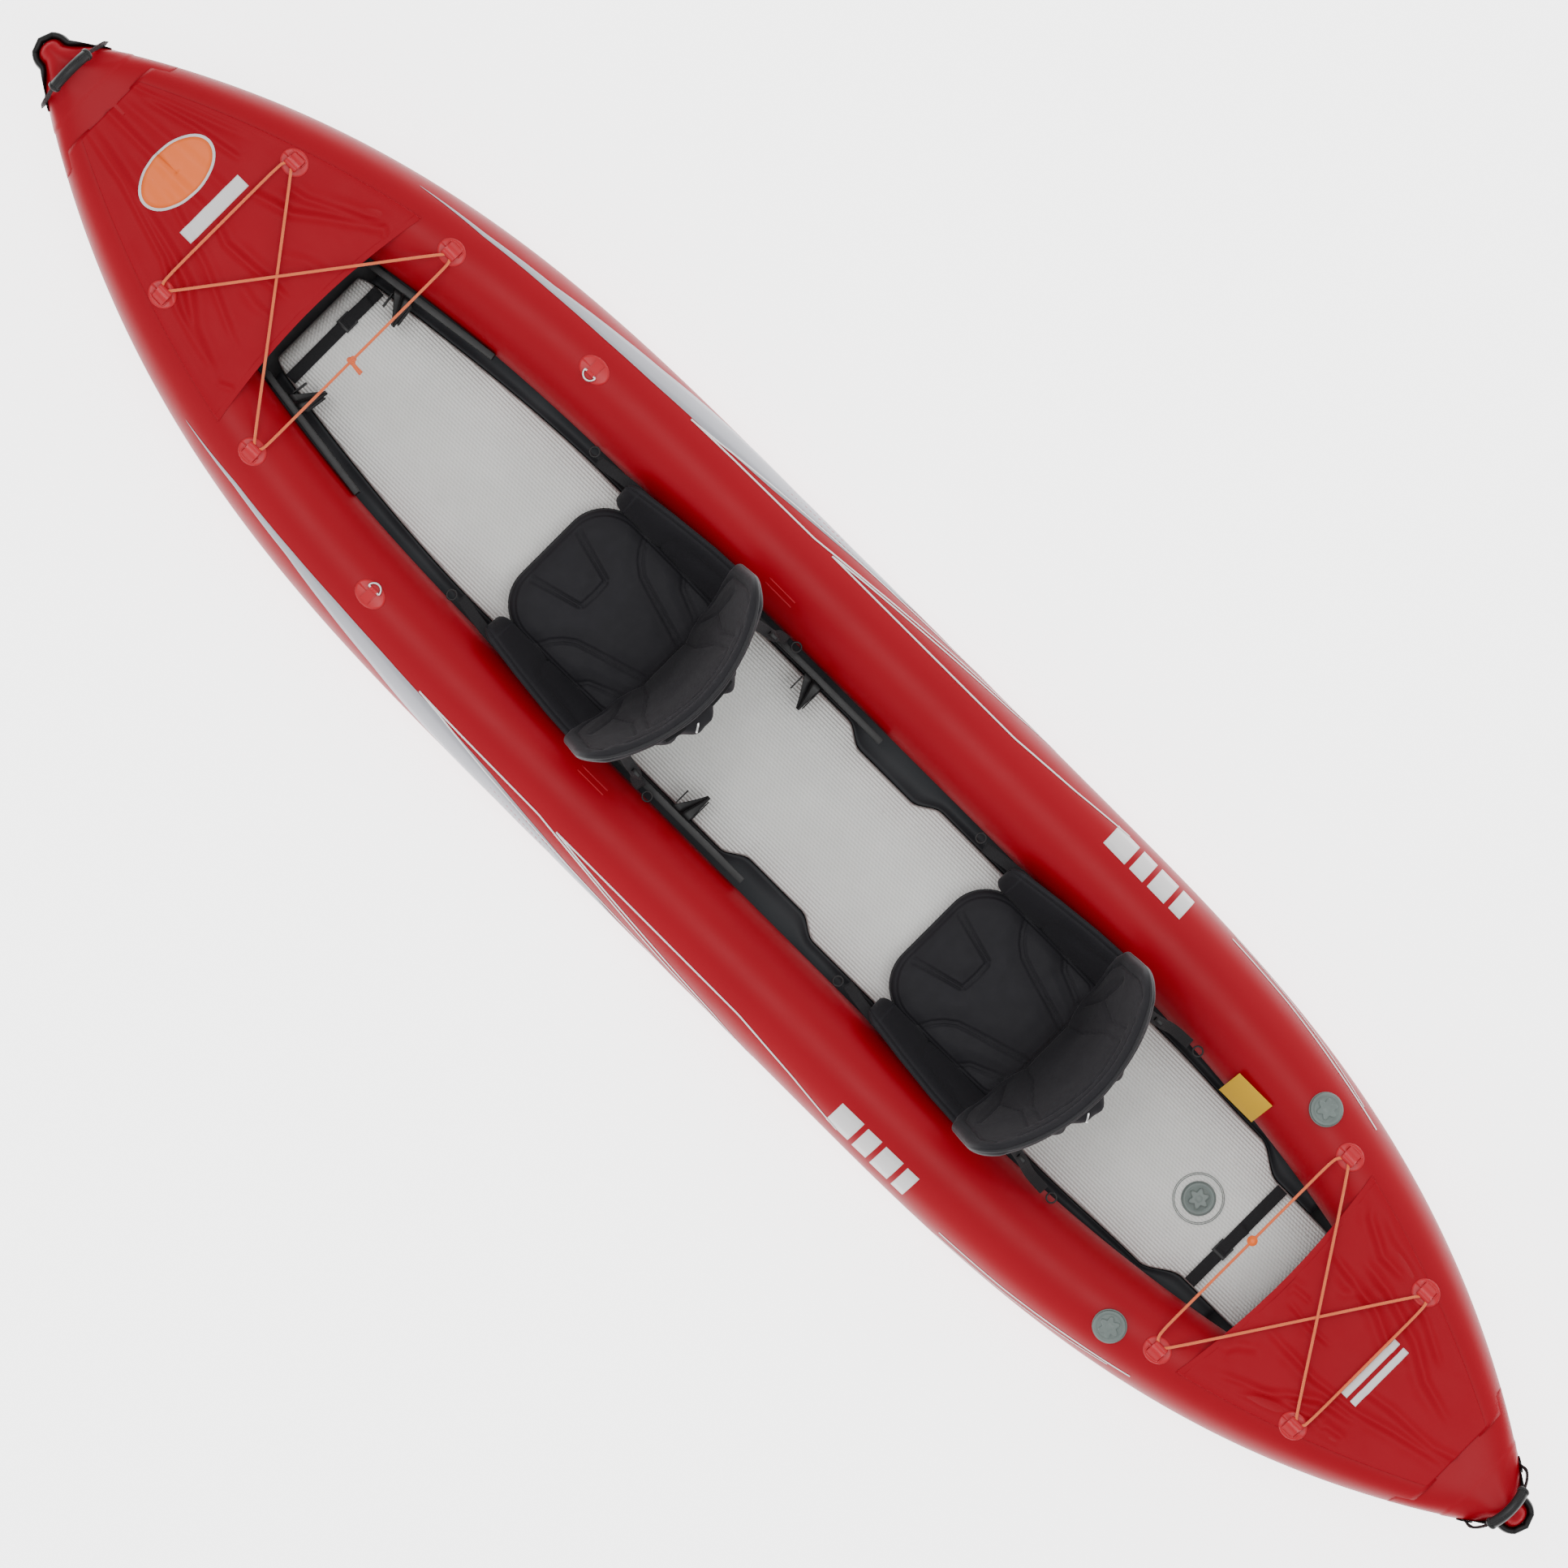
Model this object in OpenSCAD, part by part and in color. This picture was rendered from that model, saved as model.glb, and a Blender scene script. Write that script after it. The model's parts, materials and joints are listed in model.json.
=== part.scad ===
// Inflatable tandem kayak: two air tubes, a drop-stitch floor, decks, two seats, foot braces.
// +X points to the bow, +Y to port, +Z up. The origin is under the middle of the boat, on the ground.

/* [Hull] */
// Half of the overall length
half_length = 2078; // [2000:1:2150]
// Half of the overall width
half_width_mid = 430; // [420:1:440]
// Diameter of a side tube at the middle
tube_d = 215; // [205:1:220]
// Height of the tube centre line above the ground at the middle
tube_z = 123; // [118:1:126]
// Where the bow starts to narrow
bow_start = 450; // [400:10:500]
// Where the stern starts to narrow
stern_start = 500; // [450:10:550]
// How far the bow rises
bow_rise = 175; // [140:5:200]
// How far the stern rises
stern_rise = 145; // [120:5:180]
// Thickness of the coated tube cloth
skin = 1.1; // [0.9:0.1:1.4]
// How far from the middle the closed ends of the tubes are
tube_end = 1880; // [1860:5:1885]

/* [Floor] */
// Thickness of the inflated floor
floor_t = 100; // [90:1:105]
// Half of the floor's width at the middle
floor_half = 183; // [178:1:188]
// Bow end of the floor
floor_bow = 1326; // [1300:1:1330]
// Stern end of the floor
floor_stern = -1440; // [-1450:5:-1420]

/* [Seats] */
// Rear edge of the front seat's cushion
front_seat_x = 330; // [320:1:340]
// Rear edge of the rear seat's cushion
rear_seat_x = -746; // [-756:1:-740]
// Length of a cushion
cushion_len = 336; // [320:1:345]
// Width of a cushion
cushion_w = 320; // [300:1:325]
// Height of a cushion
cushion_h = 64; // [55:1:66]
// Height of a backrest above its hinge
back_h = 350; // [320:1:360]
// Lean of a backrest from upright
back_lean = 18; // [15:1:20]
// Radius of a backrest's wrap-around curve
back_r = 355; // [345:1:380]
// Thickness of a backrest
back_t = 24; // [20:1:26]

/* [Foot braces] */
// Length of a foot-brace rail
rail_len = 376; // [360:2:380]
// Thickness of a rail
rail_t = 13; // [12:0.5:13.5]
// Height of a rail
rail_h = 34; // [30:1:36]
// Reach of a pedal from the rail
pedal_reach = 66; // [60:1:68]

/* [Valves] */
// Radius of the bore that a pump's nozzle enters
valve_bore_r = 24; // [23.5:0.5:24]
// Radius of a valve's flange and cap
valve_cap_r = 32.5; // [32:0.5:34]

/* [Hidden] */
gap = 0.5;
sides = 24;
tip_half = 8;
nose_r = 44;
tip_r = 42;
tip_x = half_length - tip_r;
nose_end = half_length - 18;
bumper_start = 1990;
rise_start = 850;
floor_z = 2.2;
sheet_t = 1.6;
floor_top = floor_z + floor_t;
seat_z = floor_top + 0.6;
hinge_z = seat_z + cushion_h + 5;
chine_w = 40;
cord_r = 2.5;
valve_depth = 34;

// ---- Hull lines ----

// 0 along the straight middle, 1 at the tips
function taper(x) = x > bow_start ? (x - bow_start) / (half_length - bow_start)
    : x < -stern_start ? (-x - stern_start) / (half_length - stern_start) : 0;
function half_width(x) = tip_half + (half_width_mid - tip_half) * (1 - pow(taper(x), 2.86));
function tube_r(x) = tube_d / 2 - (tube_d / 2 - nose_r) * pow(taper(x), 3.5);
function tube_y(x) = half_width(x) - tube_r(x);
function rise(x) = (x > 0 ? bow_rise : stern_rise)
    * pow(max(0, abs(x) - rise_start) / (half_length - rise_start), 2.2);
function centre_z(x) = tube_z + rise(x);
function top_z(x) = centre_z(x) + tube_r(x);
function low_z(x) = centre_z(x) - tube_r(x);
// Height of a tube's upper surface at a distance y from the middle
function skin_z(x, y) = centre_z(x) + sqrt(pow(tube_r(x), 2) - pow(y - tube_y(x), 2));
function smooth(v) = let (c = min(1, max(0, v))) c * c * (3 - 2 * c);
function reversed(v) = [for (k = [len(v) - 1:-1:0]) v[k]];
function spread(a, b, n) = [for (i = [0:n]) a + (b - a) * i / n];

// ---- Closed solids from rings of points ----

// Two triangles for a patch with four corners
function halves(q) = [[q[0], q[1], q[2]], [q[0], q[2], q[3]]];
function ring_faces(n, a, b) = [for (k = [0:n - 1])
    each halves([a * n + k, a * n + (k + 1) % n, b * n + (k + 1) % n, b * n + k])];
// Rungs across a ring, which close it at an end
function end_faces(n, base) = [for (k = [0:n / 2 - 2])
    each halves([base + k, base + k + 1, base + n - 2 - k, base + n - 1 - k])];

// Rings run clockwise when seen from ahead. A looped chain makes a pipe.
module ring_solid(rings, looped = false) {
    n = len(rings[0]);
    last = len(rings) - 1;
    walls = [for (i = [0:last - 1]) each ring_faces(n, i, i + 1)];
    ends = looped ? ring_faces(n, last, 0)
        : concat([for (f = end_faces(n, 0)) reversed(f)], end_faces(n, last * n));
    polyhedron(points = [for (r = rings) each r], faces = concat(walls, ends), convexity = 6);
}

// Section across the hull: a round, or two half rounds joined by flats where it is wider than high
function section(x, y, z, w, h) = [for (k = [0:sides - 1])
    let (a = 360 * k / sides, c = cos(a))
    [x, y - sign(round(c * 1000)) * max(0, w - h) - min(w, h) * c, z + h * sin(a)]];
function tube_ring(x, side, r) = section(x, side * tube_y(x), centre_z(x), r, r);

function unit(v) = v / norm(v);
function heading(p, i) = unit(p[min(i + 1, len(p) - 1)] - p[max(i - 1, 0)]);
function across(t) = unit(cross(t, [0, 0, 1]));

// Round cord along a list of points
module cord(path, r, n = 8) {
    ring_solid([for (i = [0:len(path) - 1])
        let (t = heading(path, i), s = across(t), u = cross(s, t))
        [for (k = [0:n - 1]) path[i] + r * (cos(360 * k / n) * s + sin(360 * k / n) * u)]]);
}

// Flat webbing on edge along a list of points
module webbing(path, w, t = 2) {
    ring_solid([for (i = [0:len(path) - 1])
        let (h = heading(path, i), s = across(h) * t / 2, u = cross(across(h), h) * w / 2)
        [path[i] + s - u, path[i] + s + u, path[i] - s + u, path[i] - s - u]]);
}

// Thin sheet: each row is a list of points across the boat, from starboard to port
module sheet(rows, t) {
    ring_solid([for (row = rows) concat(
        [for (p = row) p + [0, 0, t]], [for (k = [len(row) - 1:-1:0]) row[k]])]);
}

// Pipe with open ends, or a cup that is closed at one end. Both lists run from aft to forward.
module pipe(outer, inner) ring_solid(concat(outer, reversed(inner)), looped = true);
module cup(outer, inner, closed_aft) ring_solid(closed_aft ? concat(outer, reversed(inner))
    : concat(reversed(inner), outer));

module both_sides() {
    children();
    mirror([0, 1, 0]) children();
}

// ---- Tubes, noses and skins ----

panel_cuts = [-tube_end, -1500, -1000, -400, 250, 850, 1350, tube_end];
last_panel = len(panel_cuts) - 2;
valve_x = -1215;
valve_y = 303;
valve_hole_r = 28.4;
floor_valve_x = -1174;
valve_tilt = asin((valve_y - tube_y(valve_x)) / tube_r(valve_x));

module at_tube_valve(side) {
    translate([valve_x, side * valve_y, skin_z(valve_x, valve_y)])
        rotate([-side * valve_tilt, 0, 0]) children();
}
module at_floor_valve() translate([floor_valve_x, 0, floor_top]) children();

// One welded length of a side tube. The first and last lengths are closed at the tips.
module tube_panel(side, i) {
    x0 = panel_cuts[i] + (i == 0 ? 0 : gap / 2);
    x1 = panel_cuts[i + 1] - (i == last_panel ? 0 : gap / 2);
    low = x0 + (i == 0 ? skin : 0);
    high = x1 - (i == last_panel ? skin : 0);
    steps = i == 0 || i == last_panel ? 8 : 4;
    outer = [for (x = spread(x0, x1, steps)) tube_ring(x, side, tube_r(x))];
    inner = [for (x = spread(low, high, steps)) tube_ring(x, side, tube_r(x) - skin)];
    if (i == 0 || i == last_panel) cup(outer, inner, closed_aft = i == 0);
    else pipe(outer, inner);
}

module side_tube(side) {
    color("crimson") for (i = [0:last_panel])
        if (i == 1) difference() {
            tube_panel(side, i);
            at_tube_valve(side) translate([0, 0, -20]) cylinder(h = 40, r = valve_hole_r, $fn = 64);
        } else tube_panel(side, i);
}

// Outline of the bow or stern with its rounded tip
function outline(x) = max(half_width(x), sqrt(max(0, pow(tip_r, 2) - pow(abs(x) - tip_x, 2))));
function bumper_t(x) = abs(x) < bumper_start ? 0 : 2 + 12 * smooth((abs(x) - bumper_start) / 45);
function nose_h(x) = tube_r(x) * sqrt(1 - pow(max(0, abs(x) - bumper_start) / 75, 2));
function nose_inset(x) = 2.6 * smooth((abs(x) - bumper_start + 18) / 12)
    + 12 * smooth((abs(x) - bumper_start + 7) / 45);
function nose_ring(x, t) = section(x, 0, centre_z(x), outline(x) - nose_inset(x) - t, nose_h(x) - t);

module nose_cone(end) {
    steps = 22;
    xs = spread(end * (tube_end + 2), end * (nose_end - 3), steps);
    outer = [for (x = xs) nose_ring(x, gap)];
    inner = [for (x = xs) nose_ring(x - (x == xs[steps] ? end * 3 : 0), gap + 3)];
    color("crimson")
        if (end > 0) cup(outer, inner, closed_aft = false);
        else cup(reversed(outer), reversed(inner), closed_aft = true);
}

module bumper(end) {
    xs = spread(bumper_start, half_length, 22);
    inner_xs = [for (x = xs) if (x < nose_end) x];
    side = [for (x = xs) [x, outline(x)]];
    inside = [for (x = inner_xs) [x, outline(x) - bumper_t(x)]];
    band = 60;
    color("black") translate([0, 0, centre_z(end * tip_x) - band / 2])
        mirror([end > 0 ? 0 : 1, 0, 0]) linear_extrude(band)
            polygon(concat(side, [for (p = reversed(side)) [p[0], -p[1]]],
                [for (p = inside) [p[0], -p[1]]], [[nose_end, 0]], reversed(inside)));
}

// Deck stretched over the tube tops, from the hem of the cockpit to the nose
module deck(end, hem_mid, hem_side) {
    cols = spread(-1, 1, 12);
    rows = [for (u = spread(0, 1, 14)) [for (v = cols)
        let (hem = hem_mid + (hem_side - hem_mid) * v * v, x = end * (hem + u * (tube_end - 4 - hem)))
        [x, v * tube_y(x), top_z(x) + gap]]];
    color("firebrick") sheet(end > 0 ? rows : reversed(rows), 1.2);
}

sheet_stern = -1460;
sheet_bow = 1336;
sheet_xs = [sheet_stern, -1360, -1260, -1160, -1060, -960, -850, -700,
    700, 850, 960, 1060, 1160, 1250, sheet_bow];

module bottom_sheet() {
    edge = [for (x = sheet_xs) [x, tube_y(x) - chine_w]];
    color("dimgray") linear_extrude(sheet_t)
        polygon(concat(edge, [for (p = reversed(edge)) [p[0], -p[1]]]));
}

// Sloping strips between the flat bottom and the undersides of the tubes
module chine_strips() {
    t = 2.4;
    steps = [0, 0.4, 1];
    rings = [for (x = sheet_xs) let (
        h = low_z(x) - sheet_t - gap,
        under = [for (v = steps) [x, tube_y(x) - (chine_w - gap) * (1 - v), h * v * v]],
        lean = [for (v = steps) atan(2 * h * v / chine_w)],
        over = [for (k = [0:2]) under[k] + t * [0, -sin(lean[k]), cos(lean[k])]])
        concat(over, reversed(under))];
    color("dimgray") both_sides() ring_solid(rings);
}

// How far the middle of the bottom lies below the tubes, at the inner and outer end of a panel
function panel_drop(x, start) = let (d0 = low_z(start) - sheet_t - gap, d1 = 20)
    d0 + (d1 - d0) * (x - start) / (sign(start) * (tube_end - 4) - start);
function panel_z(x, v, start) = low_z(x) - sheet_t - gap - panel_drop(x, start) * (1 - pow(abs(v), 6));

module bottom_end_panels() {
    cols = [-1, -0.92, -0.8, -0.5, 0, 0.5, 0.8, 0.92, 1];
    color("dimgray") for (start = [sheet_bow + gap, sheet_stern - gap]) {
        rows = [for (x = spread(start, sign(start) * (tube_end - 4), 9))
            [for (v = cols) [x, v * tube_y(x), panel_z(x, v, start)]]];
        sheet(start > 0 ? rows : reversed(rows), sheet_t);
    }
}

// Slotted box for a tracking fin, under the rising stern
module fin_box() {
    box_len = 150;
    slot_len = 126;
    color("black") translate([-1640, 0, 38]) rotate([0, 17, 0]) difference() {
        translate([-box_len / 2, -14, -8]) cube([box_len, 28, 14]);
        translate([-slot_len / 2, -4, -9]) cube([slot_len, 8, 12]);
    }
}

// ---- Floor ----

function waist(x) = 28 * smooth(-x / 60) * smooth((x + 265) / 60);
function floor_edge(x) = floor_half - waist(x) - 61 * pow(max(0, x - 700) / 620, 1.6)
    - 8 * smooth((-900 - x) / 280) - 40 * smooth((-1180 - x) / 85);

module floor_shape(inset, z0, z1) {
    edge = [for (x = spread(floor_stern + inset, floor_bow - inset, 60)) [x, floor_edge(x) - inset]];
    translate([0, 0, z0]) linear_extrude(z1 - z0)
        polygon(concat(edge, [for (p = reversed(edge)) [p[0], -p[1]]]));
}

module drop_stitch_floor() {
    color("lightgray") difference() {
        floor_shape(0, floor_z, floor_top);
        floor_shape(1.6, floor_z + 1.5, floor_top - 1.5);
        at_floor_valve() translate([0, 0, -20]) cylinder(h = 40, r = valve_hole_r, $fn = 64);
    }
}

// Bundles that stand for the thousands of threads between the floor's two faces
module drop_stitch_threads() {
    color("white") for (x = [-1380:200:1220], y = [-100, 0, 100])
        if (norm([x - floor_valve_x, y]) > 60)
            translate([x, y, floor_z + 1.6]) cylinder(h = floor_t - 3.2, r = 1.5, $fn = 24);
}

// Flaps beside the floor that hold it down
module floor_sleeves() {
    flap_z = 72;
    rows = [for (x = spread(-1240, 1280, 84)) [for (v = [0, 1])
        [x, floor_edge(x) + 7 + v * 11, flap_z - 10 * v]]];
    color("slategray") both_sides() sheet(rows, 1.2);
}

module floor_strap(x, half) {
    z = floor_top + 1.6;
    webbing([[x, -half, z - 0.4], [x, -half * 0.5, z], [x, half * 0.5, z], [x, half, z - 0.4]], 1.4, 26);
}

module floor_straps() {
    color("black") {
        floor_strap(1272, 126);
        floor_strap(-1280, 132);
    }
}

module strap_buckles() {
    frame = 32;
    slot = 26;
    bar = 7;
    color("black") for (at = [[1272, -36], [-1280, 38]])
        translate([at[0], at[1], floor_top + 2.6]) difference() {
            translate([-frame / 2, -frame / 2, 0]) cube([frame, frame, 5]);
            for (dy = [-bar, bar])
                translate([-slot / 2, dy - 2.5, -1]) cube([slot, 5, 7]);
        }
}

// ---- Foot braces ----

bow_rail = [1198, 165.5, -8.05];
mid_rail = [110, 196, 0];
rail_z = 145;
carriage_t = 10;

module at_rail(rail, side) {
    mirror([0, side > 0 ? 0 : 1, 0]) translate([rail[0], rail[1], rail_z]) rotate([0, 0, rail[2]]) children();
}

module rail() {
    pitch = 18;
    slot = 8;
    difference() {
        translate([-rail_len / 2, -rail_t / 2, -rail_h / 2]) cube([rail_len, rail_t, rail_h]);
        for (x = [-rail_len / 2 + 17:pitch:rail_len / 2 - 17])
            translate([x - slot / 2, -rail_t, -slot / 2]) cube([slot, 2 * rail_t, slot]);
    }
}

module foot_rails() {
    color("black") for (rail = [bow_rail, mid_rail], side = [-1, 1]) at_rail(rail, side) rail();
}

// Carriage on the rail's inner face with the foot pad standing across the boat
module pedal(rail, side, x) {
    pad_low = -34;
    color("black") at_rail(rail, side) translate([x, -rail_t / 2 - gap, 0]) {
        translate([-5, -carriage_t, -20]) cube([60, carriage_t, 40]);
        translate([-5, 0, 0]) rotate([90, 0, -90]) linear_extrude(4)
            polygon([[0, pad_low], [pedal_reach, pad_low + 6], [pedal_reach, 30], [0, 62]]);
    }
}

module release(rail, side, x) {
    color("black") at_rail(rail, side) translate([x + 36, -rail_t / 2 - gap - carriage_t - 1, 0])
        translate([-1.5, -34, -14]) cube([3, 34, 28]);
}

bow_pedal_x = 13;
mid_pedal_x = -20;

// ---- Cords, anchors and handles ----

cord_lift = 9;
bow_anchors = [[1210, 271], [1552, 176]];
stern_anchors = [[-1315, 262], [-1608, 178]];
function slope(x) = atan((top_z(x + 10) - top_z(x - 10)) / 20);
function skin_at(x, y) = abs(x) > 1400 && y < tube_y(x) ? top_z(x) + 2 * gap + 0.7 : skin_z(x, y);

// Round the near anchors, crossing over to the far ones. The second crossing passes over the first.
bow_bungee_route = [
    [1197, 15, 247], [1197, 130, 247], [1197, 252, 247], [1200, 266, 247], [1210, 271, 247],
    [1219, 264, 248], [1417, 0, 264], [1543, -167, 276], [1552, -176, 276], [1562, -174, 277],
    [1568, -162, 277], [1568, 0, 277], [1568, 162, 277], [1562, 174, 277], [1552, 176, 276],
    [1543, 167, 276], [1417, 0, 271], [1219, -264, 248], [1210, -271, 247], [1200, -266, 247],
    [1197, -252, 247], [1197, -130, 247], [1197, 9, 247]
];
stern_bungee_route = [
    [-1294, -12, 250], [-1294, 120, 250], [-1294, 244, 250], [-1303, 258, 250], [-1315, 262, 250],
    [-1325, 255, 251], [-1490, 0, 264], [-1599, -169, 273], [-1608, -178, 273], [-1618, -176, 274],
    [-1624, -164, 274], [-1624, 0, 274], [-1624, 164, 274], [-1618, 176, 274], [-1608, 178, 273],
    [-1599, 169, 273], [-1490, 0, 271], [-1325, -255, 251], [-1315, -262, 250], [-1303, -258, 250],
    [-1294, -244, 250], [-1294, -120, 250], [-1294, -20, 250]
];

module bungee_anchors() {
    color("crimson") for (p = concat(bow_anchors, stern_anchors), side = [-1, 1])
        translate([p[0], side * p[1], skin_at(p[0], p[1])]) rotate([0, -slope(p[0]), 0]) {
            translate([0, 0, 1]) cylinder(h = 1.6, r = 13, $fn = 48);
            translate([0, 0, cord_lift]) rotate([0, 90, 0])
                rotate_extrude($fn = 48) translate([6, 0]) circle(r = 1.5, $fn = 24);
        }
}

// Knot of the bow cord and round toggle of the stern cord
module cord_stoppers() {
    color("orangered") {
        translate([1197, 12, 247]) sphere(r = 7, $fn = 48);
        translate([-1294, -16, 245]) cylinder(h = 10, r = 10.5, $fn = 48);
    }
}

handle_half = 82;
handle_rise = 84;
grip_r = 11;
bow_handle = [1979, 278];
stern_handle = [-1982, 254];
stern_tilt = 25;
function handle_arc(half, steps) = [for (a = spread(half, 180 - half, steps))
    [0, -handle_half * cos(a), handle_rise * sin(a)]];
module at_handle(p, tilt) translate([p[0], 0, p[1]]) rotate([0, tilt, 0]) children();
module handle_strap(p, tilt) color("black") at_handle(p, tilt) webbing(handle_arc(26, 16), 2.4, 26);
module handle_grip(p, tilt) color("black") at_handle(p, tilt) cord(handle_arc(57, 8), grip_r, 16);

function outline_turn(x) = atan((outline(x + 5) - outline(x - 5)) / 10);
module handle_patches() {
    patch_r = 17;
    color("black") both_sides() for (p = [bow_handle, stern_handle])
        translate([p[0], outline(p[0]) + 1.6, p[1] - 6]) rotate([0, 0, outline_turn(p[0])]) rotate([90, 0, 0])
            cylinder(h = 1.6, r = patch_r, center = true, $fn = 48);
}

d_ring_x = 846;
d_ring_y = 303;
d_ring_wire = 2.4;
d_ring_r = 14;
d_ring_z = skin_z(d_ring_x, d_ring_y) + 6;

// Welded pad with a sleeve that the straight side of the ring turns in
module d_ring_tabs() {
    color("crimson") both_sides() translate([d_ring_x, d_ring_y, d_ring_z]) difference() {
        union() {
            rotate([0, 90, 0]) cylinder(h = 18, r = 4.4, center = true, $fn = 48);
            translate([-10, 0, -4.2]) cube([20, 30, 3]);
        }
        rotate([0, 90, 0]) cylinder(h = 20, r = d_ring_wire + 0.08, center = true, $fn = 48);
    }
}

module d_ring(side) {
    mirror_side = side > 0 ? 0 : 1;
    color("silver") mirror([0, mirror_side, 0]) translate([d_ring_x, d_ring_y, d_ring_z]) {
        rotate([0, 90, 0]) cylinder(h = 2 * d_ring_r, r = d_ring_wire, center = true, $fn = 48);
        rotate([0, 0, 180]) rotate_extrude(angle = 180, $fn = 64)
            translate([d_ring_r, 0]) circle(r = d_ring_wire, $fn = 32);
    }
}

// ---- Valves ----

seat_low = -13;
seat_high = -9;
stem_r = 3;

// Collar around the bore, and below it the chamber with the lip that the plunger seals against
module valve_body() {
    wall_r = 28;
    chamber_r = 25.4;
    joint = 0.1;
    difference() {
        union() {
            translate([0, 0, seat_high]) cylinder(h = 1 - seat_high, r = wall_r, $fn = 96);
            translate([0, 0, 1]) cylinder(h = 2, r = valve_cap_r, $fn = 96);
        }
        translate([0, 0, seat_high - 1]) cylinder(h = 20, r = valve_bore_r, $fn = 96);
    }
    difference() {
        translate([0, 0, -valve_depth]) cylinder(h = valve_depth + seat_high - joint, r = wall_r, $fn = 96);
        translate([0, 0, seat_low - 1]) cylinder(h = 6, r = 22, $fn = 96);
        translate([0, 0, 4 - valve_depth]) cylinder(h = seat_low + valve_depth - 4, r = chamber_r, $fn = 96);
        translate([0, 0, -valve_depth - 1]) cylinder(h = 6, r = stem_r + 0.1, $fn = 64);
        for (a = [0:60:300]) rotate([0, 0, a])
            translate([13, 0, -valve_depth - 1]) cube([9, 7, 12], center = true);
    }
}

module valve_bodies() {
    color("slategray") {
        at_tube_valve(1) valve_body();
        at_tube_valve(-1) valve_body();
        at_floor_valve() valve_body();
    }
}

// Screw cap with a six-lobed grip
module valve_cap() {
    lobes = [for (a = [0:5:355]) (18 + 4 * cos(6 * a)) * [cos(a), sin(a)]];
    color("lightslategray") {
        translate([0, 0, 3.4]) cylinder(h = 5, r = valve_cap_r, $fn = 96);
        translate([0, 0, 8]) linear_extrude(5) polygon(lobes);
    }
}

module valve_plunger() {
    color("white") {
        translate([0, 0, seat_low - 4.2]) cylinder(h = 4, r = 23.6, $fn = 96);
        translate([0, 0, -valve_depth - 4]) cylinder(h = valve_depth - 8, r = stem_r, $fn = 64);
        translate([0, 0, seat_low - 1]) cylinder(h = 3, r = 5, $fn = 48);
    }
}

module valve_spring() {
    turns = 4;
    low = 5.2 - valve_depth;
    high = seat_low - 5.4;
    color("silver") cord([for (i = [0:turns * 12]) let (a = i * 30)
        [9 * cos(a), 9 * sin(a), low + (high - low) * i / (turns * 12)]], 0.8, 6);
}

// ---- Seats ----

module at_hinge(x) translate([x + 8, 0, hinge_z]) rotate([0, -back_lean, 0]) children();

module seat_cushion(x) {
    front_r = 82;
    rear_r = 24;
    half = cushion_w / 2;
    corner = [for (a = [0:6:90])
        [cushion_len - front_r, half - front_r] + front_r * [sin(a), cos(a)]];
    heel = [for (a = [0:15:90]) [rear_r, half - rear_r] + rear_r * [-cos(a), sin(a)]];
    edge = concat(heel, corner);
    color("dimgray") translate([x, 0, seat_z]) linear_extrude(cushion_h)
        polygon(concat(edge, [for (p = reversed(edge)) [p[0], -p[1]]]));
}

// Side panels that lean out from the cushion over the tubes
module seat_wings(x) {
    t = 14;
    foot = [0, 166, seat_z + 30];
    wing = [for (p = [[x + 20, 236], [x + 304, 212]])
        [[p[0], 0, 0] + foot, [p[0], p[1] - t, 236], [p[0], p[1], 236], [p[0], t, 0] + foot]];
    color("dimgray") both_sides() ring_solid(wing);
}

module seat_back(x) {
    low = 45;
    side_edge = [[165, low], [208, 84], [245, 160], [246, back_h - 72]];
    shoulder = [for (a = [10:10:90]) [186 + 60 * cos(a), back_h - 72 + 72 * sin(a)]];
    edge = concat(side_edge, shoulder);
    color("dimgray") at_hinge(x) {
        intersection() {
            translate([back_r, 0, 0]) difference() {
                cylinder(h = 400, r = back_r + back_t, $fn = 180);
                translate([0, 0, -1]) cylinder(h = 402, r = back_r, $fn = 180);
            }
            translate([-60, 0, 0]) rotate([90, 0, 90]) linear_extrude(200)
                polygon(concat(edge, [for (p = reversed(edge)) [-p[0], p[1]]]));
        }
        translate([-6, -110, 2]) cube([4, 220, 50]);
    }
}

module seat_pouch(x) {
    color("dimgray") at_hinge(x) translate([-back_t - 52, -94, 125]) cube([50, 224, 150]);
}

// Webbing from the backrest to the anchor rings ahead of and behind the seat
module seat_straps(x, front, rear) {
    color("black") both_sides() {
        webbing([[front - 21, 196, 158], [front - 100, 224, 200], [x + 30, 251, 428]], 24);
        webbing([[x - 44, 181, 356], [rear + 23, 204, 182]], 24);
    }
}

ring_places = [[735, 202, 158], [175, 210, 186], [-354, 202, 158], [-958, 206, 186]];
module seat_anchor_rings() {
    color("dimgray") both_sides() for (p = ring_places) translate(p) {
        rotate_extrude($fn = 48) translate([10, 0]) circle(r = 1.8, $fn = 24);
    }
}

module care_label() {
    color("gold") translate([-1037, -233.4, 223.5]) rotate([-54, 0, 0]) translate([-99, 0, 0]) cube([92, 86, 0.8]);
}

// ---- Nodes ----

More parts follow.
